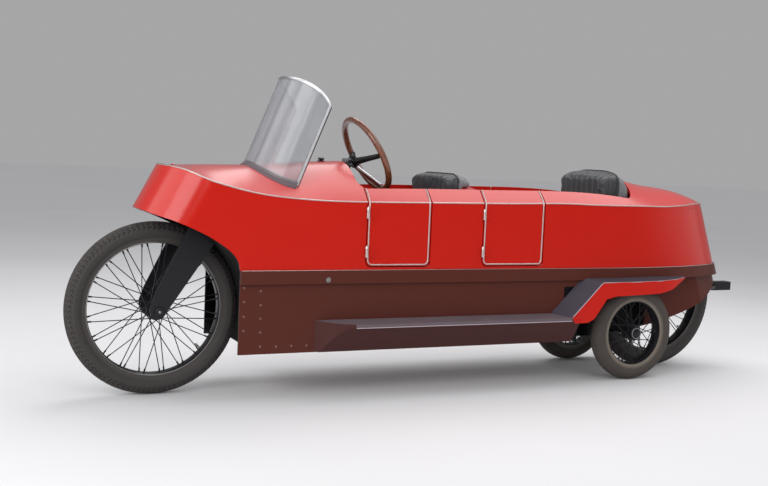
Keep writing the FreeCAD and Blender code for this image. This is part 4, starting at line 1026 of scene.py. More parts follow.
@dataclass(frozen=True)
class HullForm:
    """The curves that the body panels follow.

    The stations are shares of the length behind the front axle, and the belts and
    rises are shares of the belt's height.
    """

    stations: tuple = (-0.1000, -0.0400, -0.0059, 0.0147, 0.0323, 0.0551, 0.1026, 0.1554, 0.1906,
                       0.2375, 0.3226, 0.4399, 0.5572, 0.6452, 0.7067, 0.7537, 0.7947, 0.8211,
                       0.8600, 0.9200)
    belts: tuple = (1.3000, 1.1850, 1.1445, 1.1175, 1.0920, 1.0655, 1.0220, 1.0000, 0.9935,
                    0.9920, 0.9950, 1.0000, 1.0055, 0.9850, 0.9510, 0.9080, 0.8650, 0.8350,
                    0.7900, 0.7200)
    rises: tuple = (0.0, 0.0, 0.0005, 0.0210, 0.0500, 0.0810, 0.1300, 0.1650, 0.1860, 0.1990,
                    0.2130, 0.2110, 0.1980, 0.1810, 0.1670, 0.1890, 0.1920, 0.1800, 0.1550,
                    0.1200)
    nose_reach: float = 0.200
    nose_overhang: float = -0.009
    nose_height: float = 0.946
    nose_slope: float = 0.525
    tail_reach: float = 0.880
    tail_setback: float = 2.912
    tail_slope: float = 0.36
    step: float = 0.02
    rounds: int = 8

    def along(self, x: Array, heights: tuple) -> Array:
        """A table's height at each X, by a cubic through four neighbours of the table.

        The slope at a table point is the mean slope between its neighbours, and
        between two points the height is the cubic with those end slopes.

        Args:
            x: places along the car.
            heights: the table, as shares of the belt's height.

        Returns:
            The heights, in metres.
        """
        places = np.asarray(self.stations) * SIZES.length
        values = np.asarray(heights) * SIZES.belt
        slopes = np.gradient(values, places)
        back = SIZES.front_axle - np.asarray(x, float)
        index = np.clip(np.searchsorted(places, back) - 1, 0, len(places) - 2)
        span = places[index + 1] - places[index]
        t = (back - places[index]) / span
        after = index + 1
        return ((1 + 2 * t) * (1 - t) ** 2 * values[index]
                + t * (1 - t) ** 2 * span * slopes[index]
                + t * t * (3 - 2 * t) * values[after] - t * t * (1 - t) * span * slopes[after])

    def deck(self, x: Array, y: Array) -> Array:
        """Height of the deck: the belt plus the rise times 1 - (y / half width)^2."""
        share = np.asarray(y, float) / SIZES.half_width
        return self.along(x, self.belts) + self.along(x, self.rises) * (1 - share ** 2)

    def nose(self, turn: Array, z: Array) -> Array:
        """Points round the nose: a half ellipse in plan whose centre leans with height."""
        middle = (SIZES.front_axle + self.nose_overhang
                  + self.nose_slope * (self.nose_height - z) - self.nose_reach)
        return at(middle + self.nose_reach * np.cos(turn), SIZES.half_width * np.sin(turn), z)

    def tail(self, turn: Array, z: Array, proud: float = 0.0) -> Array:
        """Points round the tail: a half ellipse in plan whose centre leans with height."""
        setback = self.tail_setback - self.tail_slope * (z - SIZES.sill_top)
        middle = SIZES.front_axle - setback + self.tail_reach
        return at(middle - (self.tail_reach + proud) * np.cos(turn),
                  (SIZES.half_width + proud) * np.sin(turn), z)

    def belt_round(self, end: Callable, turn: Array) -> Array:
        """The edge between deck and side round one end, found by repeating the height."""
        z = np.full(len(turn), SIZES.belt)
        for _ in range(self.rounds):
            points = end(turn, z)
            z = self.deck(points[:, 0], points[:, 1])
        return end(turn, z)

    def belt_side(self, start: float, end: float, side: Side) -> Array:
        """The edge between deck and side along one flank, with a point every step."""
        x = np.linspace(start, end, max(3, int(abs(start - end) / self.step)))
        return at(x, side.value * SIZES.half_width, self.deck(x, SIZES.half_width))


HULL = HullForm()


@dataclass
class BodyPanels:
    """The painted body, its beading and what is fixed to it."""

    finishes: Finishes
    bead_radius: float = 0.0030
    bridge_run: tuple = (0.222, -0.0325)
    front_cut: float = 0.5275
    rear_cut: float = -0.355
    round_gap: float = 0.01
    moulding_radius: float = 0.0020
    moulding_start: float = 1.062
    moulding_proud: float = 0.0055
    rivet_radius: float = 0.0056
    rivet_height: float = 0.003
    rivet_seat: float = 0.256
    rivets: tuple = ((0.977, 0.452), (0.976, 0.395), (0.975, 0.340), (0.974, 0.284), (0.973, 0.226),
                     (1.047, 0.466), (1.046, 0.410), (1.045, 0.350), (1.044, 0.293))
    foot_rivet_run: tuple = (0.905, -0.5, -0.066)
    foot_rivet_z: float = 0.224
    bolt_place: tuple = (0.693, 0.270, 0.4965)
    washer: tuple = ((0.011, 0), (0.011, 0.0015), (0.006, 0.0018))
    bolt_nut: tuple = (0.0065, 0.0045)
    bolt_nut_lift: float = 0.0012
    knob_x: float = 0.639
    knob: tuple = ((0.016, -0.002), (0.016, 0.003), (0.008, 0.004), (0.008, 0.006),
                   (0.014, 0.008), (0.015, 0.012), (0.010, 0.016), (0.001, 0.017))
    stud_x: float = 1.285
    stud: tuple = ((0.008, -0.004), (0.008, 0.002), (0.005, 0.005), (0.001, 0.006))
    hole_turns: tuple = (0.68, 0.62)
    hole_z: float = 0.817
    hole_step: float = 0.01
    hole: tuple = ((0.0035, -0.001), (0.0035, 0.0003), (0.002, 0.0004))

    def build(self) -> None:
        """Dresses the panels and adds beading, rivets and small fittings."""
        f = self.finishes
        dress(f.red, "bonnet", "front_shell", "centre_panels", "rear_deck", "rear_shell")
        dress(f.brown, "sill_band", "lower_tub")
        dress(f.boards, "dash_panel", "floor_boards", "rear_seat_frame")
        dress(f.iron, "engine_block")
        dress(f.black, "rear_hitch", "rear_wheel_carrier", "left_wheel_arm", "right_wheel_arm")
        # the front wheel housing is dressed near black as painted shade
        dress(f.shadow, "front_wheel_housing")
        self.beading()
        self.sill_moulding()
        self.fixings()
        self.deck_fittings()

    def beading(self) -> None:
        """The bead on the edge between deck and sides, on the panels that stay put."""
        quarter = np.linspace(0, math.pi / 2, 40)
        turn = np.concatenate([-quarter[::-1], quarter[1:]])
        profile = circle(self.bead_radius)
        patches = []
        for end, cut, gap in ((HULL.nose, self.front_cut, -self.round_gap),
                              (HULL.tail, self.rear_cut, self.round_gap)):
            arc = HULL.belt_round(end, turn)
            right = HULL.belt_side(cut, arc[0, 0] + gap, Side.RIGHT)
            left = HULL.belt_side(cut, arc[-1, 0] + gap, Side.LEFT)
            patches.append(carried(np.vstack([right, arc, left[::-1]]), profile, UP))
        for side in Side:
            patches.append(carried(HULL.belt_side(*self.bridge_run, side), profile, UP))
        piece("belt_beading", patches, self.finishes.bright)

    def sill_moulding(self) -> None:
        """A thin moulding along the upper edge of the sill band, from side to side."""
        turn = np.linspace(-math.pi / 2, math.pi / 2, 97)
        tail = HULL.tail(turn, SIZES.sill_top, self.moulding_proud)
        x = np.linspace(self.moulding_start, tail[-1, 0] + 2 * self.round_gap, 40)
        left = at(x, tail[-1, 1], SIZES.sill_top)
        path = np.vstack([left * MIRROR, tail, left[::-1]])
        piece("sill_moulding", [carried(path, circle(self.moulding_radius, 8), UP)],
              self.finishes.bright)

    def fixings(self) -> None:
        """Rivets down the tub's front end and along its foot, and bolts on the band."""
        out = (0, 1, 0)
        spots = list(self.rivets) + [(x, self.foot_rivet_z)
                                     for x in np.arange(*self.foot_rivet_run)]
        heads = [twin for x, z in spots
                 for twin in dome((x, self.rivet_seat, z), out, self.rivet_radius,
                                  self.rivet_height).both()]
        piece("tub_rivets", heads, self.finishes.rivet)
        x, y, z = self.bolt_place
        bolt = [turned(self.washer, self.bolt_place, out, count=20),
                nut((x, y + self.bolt_nut_lift, z), out, *self.bolt_nut)]
        piece("sill_bolts", bolt + [patch.mirrored() for patch in bolt], self.finishes.steel)

    def deck_fittings(self) -> None:
        """A knob on the cowl, a small stud on the nose and two holes a side in the tail, shown as
        flat dark discs of painted shade.
        """
        for name, x, profile, faces, finish, slot in (
                ("cowl_knob", self.knob_x, self.knob, 20, self.finishes.black, "black_paint"),
                ("nose_stud", self.stud_x, self.stud, 16, self.finishes.red, "red_paint")):
            foot = (x, 0.0, float(HULL.deck(x, 0.0)))
            piece(name, [turned(profile, foot, UP, faces)], finish)
        holes = []
        for turn in self.hole_turns:
            spot, ahead = HULL.tail(np.array([turn, turn + self.hole_step]), self.hole_z)
            out = unit(np.cross(ahead - spot, UP))
            holes += turned(self.hole, spot, out * np.sign(out[1]), count=12).both()
        # the holes are thin near-black discs, painted shade in place of real openings
        piece("tail_holes", holes, self.finishes.hole)


@dataclass
class Fenders:
    """The fenders over the small wheels and the running boards ahead of them."""

    finishes: Finishes
    start: float = -0.425
    length: float = 0.755
    slope: float = 0.160
    sweep: float = 0.052
    foot_z: float = 0.334
    top_z: float = 0.492
    drop: float = 0.014
    seat: float = 0.256
    width: float = 0.090
    plan: tuple = ((0, 1), (0.313, 1), (0.547, 0.97), (0.738, 0.84), (0.883, 0.6), (1, 0.17))
    plan_start: float = 0.07
    bead: tuple = (0.0020, 6)
    bead_inset: float = 0.001
    bead_drop: float = 0.0008
    board_bead: tuple = ((-0.474, 0.3462, 0.3040), (0.2, 0.3462, 0.3040), (0.590, 0.3462, 0.3040))
    board_lap: tuple = ((-0.476, 0.3454, 0.3040), (0.592, 0.3462, 0.3195), 0.0003)
    foot_plate: tuple = ((-0.531, 0.3455, 0.3095), (-0.4785, 0.3472, 0.3240), 0.0004)

    def build(self) -> None:
        """Dresses fenders and boards and adds the beads, laps and plates at their edges."""
        f = self.finishes
        dress(f.fender, "left_fender", "right_fender")
        dress(f.step, "left_running_board", "right_running_board")
        beads = []
        for path in (self.edge(), np.array(self.board_bead)):
            beads += carried(path, circle(*self.bead), UP).both()
        piece("edge_beads", beads, f.edge)
        piece("board_laps", slab(*self.board_lap).both(), f.rubber)
        piece("fender_foot_plates", slab(*self.foot_plate).both(), f.fender)

    def edge(self) -> Array:
        """The left fender's outer edge.

        The plan gives its width by the share of its length. It climbs the slope and
        runs on level, and the outer edge lies lower by the drop times the width.
        """
        share = np.linspace(self.plan_start, 1, 70)
        out = np.interp(share, *np.transpose(self.plan))
        x = self.start - share * self.length
        run = self.start - x - self.sweep * out
        z = np.interp(run, [0, self.slope, 1], [self.foot_z, self.top_z, self.top_z])
        return at(x, self.seat + out * self.width - self.bead_inset,
                  z - self.drop * out - self.bead_drop)[:-2]


@dataclass
class Doors:
    """The four doors with their bright beading and hinges."""

    finishes: Finishes
    doors: tuple = (("front", 0.525, 0.298), ("rear", -0.035, 0.315))
    bead_radius: float = 0.0034
    belt_bead_radius: float = 0.0030
    inset: float = 0.006
    corner: float = 0.020
    front_gap: float = 0.0025
    back_gap: float = 0.001
    belt_gaps: tuple = (0.004, 0.003)
    proud: float = 0.0005
    coaming_gap: float = 0.002
    edge_gap: float = 0.003
    edge_drop: float = 0.004
    bead_up: tuple = (0.03, -0.6, 0.55)
    hinge_heights: tuple = (0.588, 0.752)
    hinge_stand: float = 0.007
    barrel: tuple = ((0.0072, 0), (0.0078, 0.001), (0.0078, 0.0145), (0.0070, 0.0155),
                     (0.0070, 0.0305), (0.0078, 0.0315), (0.0078, 0.045), (0.0072, 0.046))
    pin: tuple = ((0.004, 0), (0.0035, 0.003), (0.001, 0.004))

    def build(self) -> None:
        """Dresses the doors and gives each its beads."""
        for side in Side:
            for which, hinge, reach in self.doors:
                name = f"{side.word}_{which}_door"
                dress(self.finishes.red, name)
                self.beads(name, side, hinge, reach)

    def outline(self, hinge: float, reach: float) -> Array:
        """The bead's line on a left door, from the coaming down, across and up again.

        Straight runs joined by quarter circles at the foot, and a run over the deck.

        Args:
            hinge: X of the hinge line.
            reach: the door's width.

        Returns:
            (n, 3) points.
        """
        front = hinge - self.front_gap - self.inset
        back = hinge - reach + self.inset + self.back_gap
        foot = SIZES.door_bottom + self.inset
        flank = SIZES.half_width + self.proud
        across = np.linspace(SIZES.cockpit_half + self.coaming_gap, flank - self.edge_gap, 10)
        r = self.corner
        turn = np.linspace(0, math.pi / 2, 9)

        def over(x: float) -> Array:
            """The run over the deck at one X, from the coaming outwards."""
            return at(x, across, HULL.deck(np.full(len(across), x), across) + self.proud)

        def fall(x: float) -> Array:
            """The run down the side at one X."""
            top = float(HULL.deck(x, flank)) - self.edge_drop
            return at(x, flank, np.linspace(top, foot + r, 14))

        first = at(front - r + r * np.cos(turn), flank, foot + r - r * np.sin(turn))
        last = at(back + r - r * np.sin(turn), flank, foot + r - r * np.cos(turn))
        bottom = np.linspace(first[-1], last[0], 14)[1:-1]
        return np.vstack([over(front), fall(front), first[1:], bottom, last,
                          fall(back)[::-1][1:], over(back)[::-1]])

    def beads(self, name: str, side: Side, hinge: float, reach: float) -> None:
        """Edge bead, belt bead and hinge barrels of one door.

        Args:
            name: the door's node, which is also its body.
            side: the side that it hangs on.
            hinge: X of the hinge line.
            reach: the door's width.
        """
        front, back = hinge - self.belt_gaps[0], hinge - reach + self.belt_gaps[1]
        patches = [carried(self.outline(hinge, reach), circle(self.bead_radius), self.bead_up),
                   carried(HULL.belt_side(front, back, Side.LEFT),
                           circle(self.belt_bead_radius), UP)]
        y = SIZES.half_width + self.hinge_stand
        for low in self.hinge_heights:
            patches.append(turned(self.barrel, (hinge, y, low), UP, count=20))
            patches.append(turned(self.pin, (hinge, y, low + self.barrel[-1][1]), UP, 12))
        if side is Side.RIGHT:
            patches = [patch.mirrored() for patch in patches]
        piece(f"{name}_beading", patches, self.finishes.bright, name)


@dataclass
class Windscreen:
    """The bent windscreen, its frame and the bright tube round it."""

    finishes: Finishes
    half_width: float = 0.210
    sweep: float = 0.1835
    foot_x: float = 1.0275
    rake: float = math.radians(22)
    round_x: float = 0.8908
    round_z: float = 1.1052
    round_radius: float = 0.228
    edge_inset: float = 0.001
    tube_radius: float = 0.0062
    tube_shares: tuple = (0.01, 0.985)
    side_points: int = 40
    crown_points: int = 121
    strip: tuple = (0.0098, 14, 1.35)
    strip_share: float = -0.014
    strip_points: int = 97
    strip_stand: float = 0.0045
    foot_rise: float = 0.022
    seal_radius: float = 0.0024
    seal_shift: float = 0.0076
    rounds: int = 8

    @property
    def bend(self) -> float:
        """Radius in plan, from half width and sweep: (w^2 + s^2) / 2s."""
        return (self.half_width ** 2 + self.sweep ** 2) / (2 * self.sweep)

    def point(self, turn: Array, share: Array, inset: float) -> Array:
        """Points of the bent sheet: a circle arc in plan, leaned back along the rake.

        Args:
            turn: angle round the arc, from the middle.
            share: 0 where the sheet leaves the deck and 1 at its top edge, which in
                side view is a quarter circle followed by a straight line.
            inset: distance inside the top edge.

        Returns:
            (n, 3) points.
        """
        base = at(self.foot_x - self.bend + self.bend * np.cos(turn), self.bend * np.sin(turn),
                  SIZES.belt)
        lean = np.array([-math.sin(self.rake), 0.0, math.cos(self.rake)])
        level = np.array([lean[2], 0.0, -lean[0]])
        start = np.zeros(len(turn))
        for _ in range(self.rounds):
            spot = base + start[:, None] * lean
            start = start + (HULL.deck(spot[:, 0], spot[:, 1]) - spot[:, 2]) / lean[2]
        middle = np.array([self.round_x, 0.0, self.round_z])
        short = np.minimum((base - middle) @ level, 0.0)
        rise = np.sqrt(np.maximum((self.round_radius - inset) ** 2 - short ** 2, 0.0))
        end = (middle - base) @ lean + rise
        return base + (start + share * (end - start))[:, None] * lean

    def build(self) -> None:
        """Dresses frame and pane, and adds the tube, its seals and the rubber foot."""
        f = self.finishes
        top, low = HULL.deck(np.array([self.foot_x, self.foot_x - self.sweep]),
                             np.array([0.0, self.half_width]))
        fall = float(top - low) / self.half_width ** 2
        dress(Plating("screen_frame_metal", (0.50, 0.50, 0.52), roughness=0.36, spots=0.1,
                      foot=(float(top) + self.foot_rise, fall)).build(), "windscreen_frame")
        dress(f.glass, "windscreen_glass")
        edge = math.asin(self.half_width / self.bend) - self.edge_inset / self.bend
        share = np.linspace(*self.tube_shares, self.side_points)
        side = self.point(np.full(len(share), -edge), share, self.edge_inset)
        other = self.point(np.full(len(share), edge), share, self.edge_inset)[::-1]
        turn = np.linspace(-edge, edge, self.crown_points)
        crown = self.point(turn, np.ones(len(turn)), self.edge_inset)
        slant = self.rake - math.radians(45)
        across = (math.cos(slant), 0.0, math.sin(slant))
        tube = carried(np.vstack([side, crown, other]), circle(self.tube_radius), across)
        turn = np.linspace(-edge, edge, self.strip_points)
        foot = self.point(turn, np.full(len(turn), self.strip_share), 0.0)
        foot += self.strip_stand * at(np.cos(turn), np.sin(turn), 0.0)
        behind = np.array([-math.cos(self.rake), 0.0, -math.sin(self.rake)]) * self.seal_shift
        seals = [carried(line + behind, circle(self.seal_radius, 8), across)
                 for line in (side, other)]
        piece("windscreen_tube", [tube], f.chrome)
        piece("windscreen_seals", seals, f.black)
        piece("windscreen_rubber", [carried(foot, circle(*self.strip), UP)], f.rubber)


@dataclass
class Tyre:
    """One tyre with moulded tread, in place of its plain CAD ring.

    A row of the hem is (share of the lip, shift outwards, distance past the flange).
    """

    name: str
    body: str
    centre: tuple
    form: WheelForm
    material: Material
    slot: str
    tread: float = 1.30
    tread_edge: float = 0.12
    ring_groove: tuple = (0.26, 0.05)
    zigzag: tuple = (0.44, 0.25, 1.3)
    cuts_from: float = 0.30
    cut: tuple = (1.5, 6.0)
    wall_ridge: tuple = (0.0010, 0.16, 0.06)
    foot_gap: float = 0.003
    hem: tuple = ((0, -0.0010, 0.0026), (1, 0.001, 0.0022), (1, 0, 0.0008), (0, 0.0006, 0.0005))
    crease: float = 50.0

    def sink(self, u: Array, v: Array) -> Array:
        """How deep the tread is cut: two rings, and zigzag cuts that repeat round it.

        Args:
            u: angle round the wheel.
            v: angle round the section, 0 at the middle of the tread.

        Returns:
            The depth, less the slight ridge on the wall beside the tread.
        """
        away = np.abs(v)
        inside = np.clip((self.tread - away) / self.tread_edge, 0, 1)
        rings = np.exp(-((away - self.ring_groove[0]) / self.ring_groove[1]) ** 2)
        length, start, height = self.zigzag
        zigzag = np.abs((away / length + start) % 1.0 - 0.5) * height
        phase = u * self.form.blocks / (2 * math.pi) + zigzag + (v > 0) * 0.5
        cut = np.clip(self.cut[0] - np.abs((phase % 1.0) - 0.5) * self.cut[1], 0, 1)
        depth = self.form.groove * inside * np.clip(rings + cut * (away > self.cuts_from), 0, 1)
        height, place, width = self.wall_ridge
        return depth - height * np.exp(-((away - self.tread - place) / width) ** 2)

    def build(self) -> None:
        """Makes the tyre.

        The section is an arc of a circle over the tread, whose ends turn down over
        the rim's flanges, closed along the rim.
        """
        form = self.form
        foot = math.pi - math.asin((form.flange + self.foot_gap) / form.section)
        turn = full_turn(form.around)
        u, v = np.meshgrid(turn, np.linspace(-foot, foot, form.across), indexing="ij")
        size = form.section - self.sink(u, v)
        hem = np.array([(form.rim - lips * form.lip + shift, past)
                        for lips, shift, past in self.hem])
        edge = np.ones((form.around, 1))
        r = np.hstack([edge * hem[::-1, 0], form.radius - form.section + size * np.cos(v),
                       edge * hem[:, 0]])
        y = np.hstack([-edge * (form.flange + hem[::-1, 1]), size * np.sin(v),
                       edge * (form.flange + hem[:, 1])])
        u = turn[:, None]
        points = np.asarray(self.centre) + at(r * np.cos(u), y, r * np.sin(u))
        made = piece(f"{self.name}_moulded", [lattice(points, True, True).outward()],
                     self.material, self.body, self.crease)
        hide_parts(self.name)


@dataclass
class RoadWheels:
    """The two large wheels and the two small ones.

    A row of the lacing is (side of the hub, way that the spoke leans, first place).
    """

    finishes: Finishes
    wire: float = 0.0016
    nipple: tuple = ((0.0026, 0), (0.0036, 0.003), (0.0036, 0.017))
    spoke_step: float = 0.0024
    spoke_foot: float = 0.003
    lacing: tuple = ((1, 1, 0.25), (1, -1, 0.75), (-1, 1, 0.75), (-1, -1, 1.25))
    # Tyre colours in turn: the rubber, a paler painted highlight near the rim, and dust.
    large_colors: tuple = ((0.036, 0.031, 0.031), (0.050, 0.044, 0.042), (0.085, 0.072, 0.066))
    small_colors: tuple = ((0.056, 0.046, 0.040), (0.19, 0.160, 0.130), (0.085, 0.070, 0.058))
    hub_collar: tuple = ((0.0225, 0), (0.0245, 0.002), (0.0245, 0.010), (0.0225, 0.012))
    hub_collar_starts: tuple = (-0.088, 0.076)
    valve_turn: float = math.radians(-139)
    valve_inset: float = 0.012
    valve: tuple = ((0.0035, 0), (0.0035, 0.018), (0.0045, 0.019), (0.0045, 0.030),
                    (0.003, 0.032))
    cap_stand: float = 0.0365
    cap: tuple = ((0.027, -0.006), (0.030, 0.0), (0.030, 0.004), (0.024, 0.0075),
                  (0.019, 0.006), (0.017, 0.009), (0.009, 0.0115), (0.001, 0.012))
    cap_ring: tuple = (0.0245, 0.0075, 0.0022, 48)

    def build(self) -> None:
        """Dresses the wheels, moulds the tyres and adds nipples, rings and caps."""
        f = self.finishes
        dress(f.black, "front_wheel", "rear_wheel", "left_small_wheel", "right_small_wheel",
              "rear_axle")
        for x, word in ((SIZES.front_axle, "front"), (SIZES.rear_axle, "rear")):
            centre = (x, 0.0, LARGE.radius)
            rubber = Rubber(f"{word}_tyre_rubber", *self.large_colors, centre, LARGE).build()
            Tyre(f"{word}_tyre", f"{word}_wheel_set", centre, LARGE, rubber, "tyre").build()
            self.large_fittings(word, centre)
        for side in Side:
            word = f"{side.word}_small"
            centre = (SIZES.side_axle, side.value * SIZES.side_half_track, SMALL.radius)
            rubber = Rubber(f"{word}_rubber", *self.small_colors, centre, SMALL).build()
            Tyre(f"{word}_tyre", f"{word}_wheel_set", centre, SMALL, rubber, "side_tyre").build()
            self.small_fittings(side, centre)

    @staticmethod
    def ring(centre: tuple, radius: float, y: float, wire: float, count: int) -> Patch:
        """A wire ring round a wheel's axis, at a distance y along it."""
        turn = full_turn(count)
        path = at(centre[0] + radius * np.cos(turn), centre[1] + y,
                  centre[2] + radius * np.sin(turn))
        return carried(path, circle(wire, 8), (0, 1, 0), True)

    def rim_rings(self, centre: tuple, form: WheelForm) -> list:
        """The wire rings along both edges of a rim."""
        return [self.ring(centre, form.rim - form.ring_inset, y, self.wire, form.ring_faces)
                for y in (-form.ring_half_gap, form.ring_half_gap)]

    def nipples(self, centre: tuple, form: WheelForm) -> list:
        """Collars on the spokes where they enter the rim.

        Four spokes leave the hub in each group, two to a side, and reach the rim
        turned by the slant, so each collar lies along end minus start.

        Args:
            centre: the wheel's middle.
            form: the wheel's sizes.

        Returns:
            One patch per spoke.
        """
        patches = []
        rim, length = form.rim - form.nipple_inset, self.nipple[-1][1]
        for side, cross, offset in self.lacing:
            near = 2 * math.pi / form.spoke_groups * (offset + np.arange(form.spoke_groups))
            far = near + cross * math.radians(form.spoke_slant)
            start = at(form.hub * np.cos(near), side * (form.hub_gap + cross * self.spoke_step),
                       form.hub * np.sin(near))
            end = at(rim * np.cos(far), side * self.spoke_foot, rim * np.sin(far))
            way = unit(end - start)
            for foot, line in zip(np.asarray(centre) + end - length * way, way):
                patches.append(turned(self.nipple, foot, line, count=6))
        return patches

    def large_fittings(self, word: str, centre: tuple) -> None:
        """Rim rings, nipples, valve and hub collars of a large wheel.

        Args:
            word: front or rear.
            centre: the wheel's middle.
        """
        f, body = self.finishes, f"{word}_wheel_set"
        piece(f"{word}_rim_edges", self.rim_rings(centre, LARGE), f.steel, body)
        collars = [turned(self.hub_collar, (centre[0], y, centre[2]), (0, 1, 0), 28)
                   for y in self.hub_collar_starts]
        piece(f"{word}_nipples", self.nipples(centre, LARGE) + collars, f.black,
              body)
        out = at(math.cos(self.valve_turn), 0.0, math.sin(self.valve_turn))
        foot = np.asarray(centre) + out * (LARGE.rim - self.valve_inset)
        piece(f"{word}_valve", [turned(self.valve, foot, -out, count=12)], f.steel, body)

    def small_fittings(self, side: Side, centre: tuple) -> None:
        """Rim rings, nipples and the bright-edged hub cap of a small wheel.

        Args:
            side: the side that the wheel is on.
            centre: the wheel's middle.
        """
        f, word, reach = self.finishes, f"{side.word}_small", side.value
        body = f"{word}_wheel_set"
        piece(f"{word}_rim_edges", self.rim_rings(centre, SMALL), f.black, body)
        start = (centre[0], centre[1] + reach * self.cap_stand, centre[2])
        cap = turned(self.cap, start, (0, reach, 0), count=32)
        piece(f"{word}_nipples", self.nipples(centre, SMALL) + [cap], f.black,
              body)
        radius, lift, wire, count = self.cap_ring
        piece(f"{side.word}_hub_ring", [self.ring(start, radius, reach * lift, wire, count)],
              f.grey, body)


@dataclass
class ForkAndSteering:
    """The front fork, the steering wheel and its controls."""

    finishes: Finishes
    tilt: float = math.radians(28.7)
    centre: tuple = (0.425, 0.0, 1.016)
    dish: float = 0.060
    rim: float = 0.168
    section: float = 0.014
    fork_outside: float = 0.1082
    fork_washer: tuple = ((0.020, 0), (0.020, 0.002), (0.016, 0.0024))
    fork_nut: tuple = (0.0195, 0.0125)
    tip: tuple = (0.0065, 0.003)
    tip_outside: float = 0.1231
    collar: tuple = ((0.018, 0), (0.027, 0.003), (0.028, 0.020), (0.024, 0.026))
    boss: tuple = ((0.012, -0.004), (0.016, -0.003), (0.018, 0.002))
    boss_back: float = 0.004
    spoke: tuple = ((0.0175, 0), (0.0150, 0.030), (0.0125, 0.080), (0.0110, 0.145))
    spoke_root: float = 0.016
    spoke_set: float = 0.010
    spoke_short: float = 0.020
    ferrule: tuple = ((0.0095, 0), (0.0120, 0.010), (0.0120, 0.014))
    ferrule_gap: float = 0.0125
    blade_radius: float = 0.0100
    blade_root: float = 0.024
    blade_gap: float = 0.004
    rim_set: float = 0.002
    clamp_half: tuple = (0.022, 0.016, 0.016)
    clamp_form: tuple = (8.0, 6)
    clamp_ahead: float = 0.036
    clamp_lift: float = 0.012
    sleeve: tuple = (0.045, 0.125, 0.0185)
    band: tuple = ((0.016, 0), (0.024, 0.003), (0.024, 0.018), (0.016, 0.022))
    band_ahead: float = 0.040
    pin_back: float = 0.004
    pin_run: tuple = (-0.020, 0.026)
    pin_radius: float = 0.0075
    lever_place: tuple = (-0.020, 0.022)
    lever_length: float = 0.020
    lever_radius: float = 0.0035

    def build(self) -> None:
        """Dresses fork and steering and adds nuts, bracket, lever and spokes."""
        f = self.finishes
        dress(f.black, "front_fork", "steering_head", "steering_column", "steering_spider",
              "front_axle")
        dress(f.wheel_wood, "steering_rim")
        self.fork_nuts()
        self.controls()

    def fork_nuts(self) -> None:
        """Washers and hexagon nuts over the axle's ends."""
        f, patches, tips = self.finishes, [], []
        for sign in (1, -1):
            out = (0, sign, 0)
            washer, seat, end = (
                (SIZES.front_axle, sign * y, LARGE.radius)
                for y in (self.fork_outside, self.fork_outside + self.fork_washer[-1][1],
                          self.tip_outside))
            patches += [turned(self.fork_washer, washer, out, 24), nut(seat, out, *self.fork_nut)]
            tips.append(dome(end, out, *self.tip))
        piece("fork_nuts", patches, f.black, "fork")
        piece("axle_tips", tips, f.steel, "fork")

    def controls(self) -> None:
        """The clamp on the steering hub, its lever, the plated lower spoke and ferrules."""
        f = self.finishes
        way = at(math.cos(self.tilt), 0.0, -math.sin(self.tilt))
        lift = at(math.sin(self.tilt), 0.0, math.cos(self.tilt))
        side = np.array([0.0, 1.0, 0.0])
        middle = np.asarray(self.centre)
        hub = middle + way * self.dish
        inner = self.rim - self.section
        rest = [turned(profile, hub - way * self.boss_back, way, count=28)
                for profile in (self.collar, self.boss)]
        for across in (side, -side):
            rest.append(turned(self.spoke, hub + way * self.spoke_set + across * self.spoke_root,
                               across * (self.rim - self.spoke_short)
                               - way * (self.dish + self.spoke_set), count=18))
            rest.append(turned(self.ferrule, middle + across * (inner - self.ferrule_gap)
                               + way * self.rim_set, across, count=18))
        piece("steering_boss", rest, f.black, "steering_wheel")
        blade = rod(hub - lift * self.blade_root + way * self.spoke_set,
                    middle - lift * (inner - self.blade_gap) + way * self.rim_set,
                    self.blade_radius, count=16)
        piece("lower_spoke_plate", [blade], f.chrome, "steering_wheel")
        top = hub + way * self.clamp_ahead + lift * self.clamp_lift
        half = np.array(self.clamp_half)
        piece("steering_clamp", [superblock(top - half, top + half, *self.clamp_form)], f.grey)
        start, end, radius = self.sleeve
        back, out = self.lever_place
        pin, lever = top - way * self.pin_back, top + way * back + side * out
        low, high = (pin + side * reach for reach in self.pin_run)
        band = [rod(hub + way * start, hub + way * end, radius, count=20),
                turned(self.band, hub + way * self.band_ahead, way, count=28),
                rod(low, high, self.pin_radius),
                rod(lever, lever + lift * self.lever_length, self.lever_radius, count=8)]
        piece("steering_bracket", band, f.black)


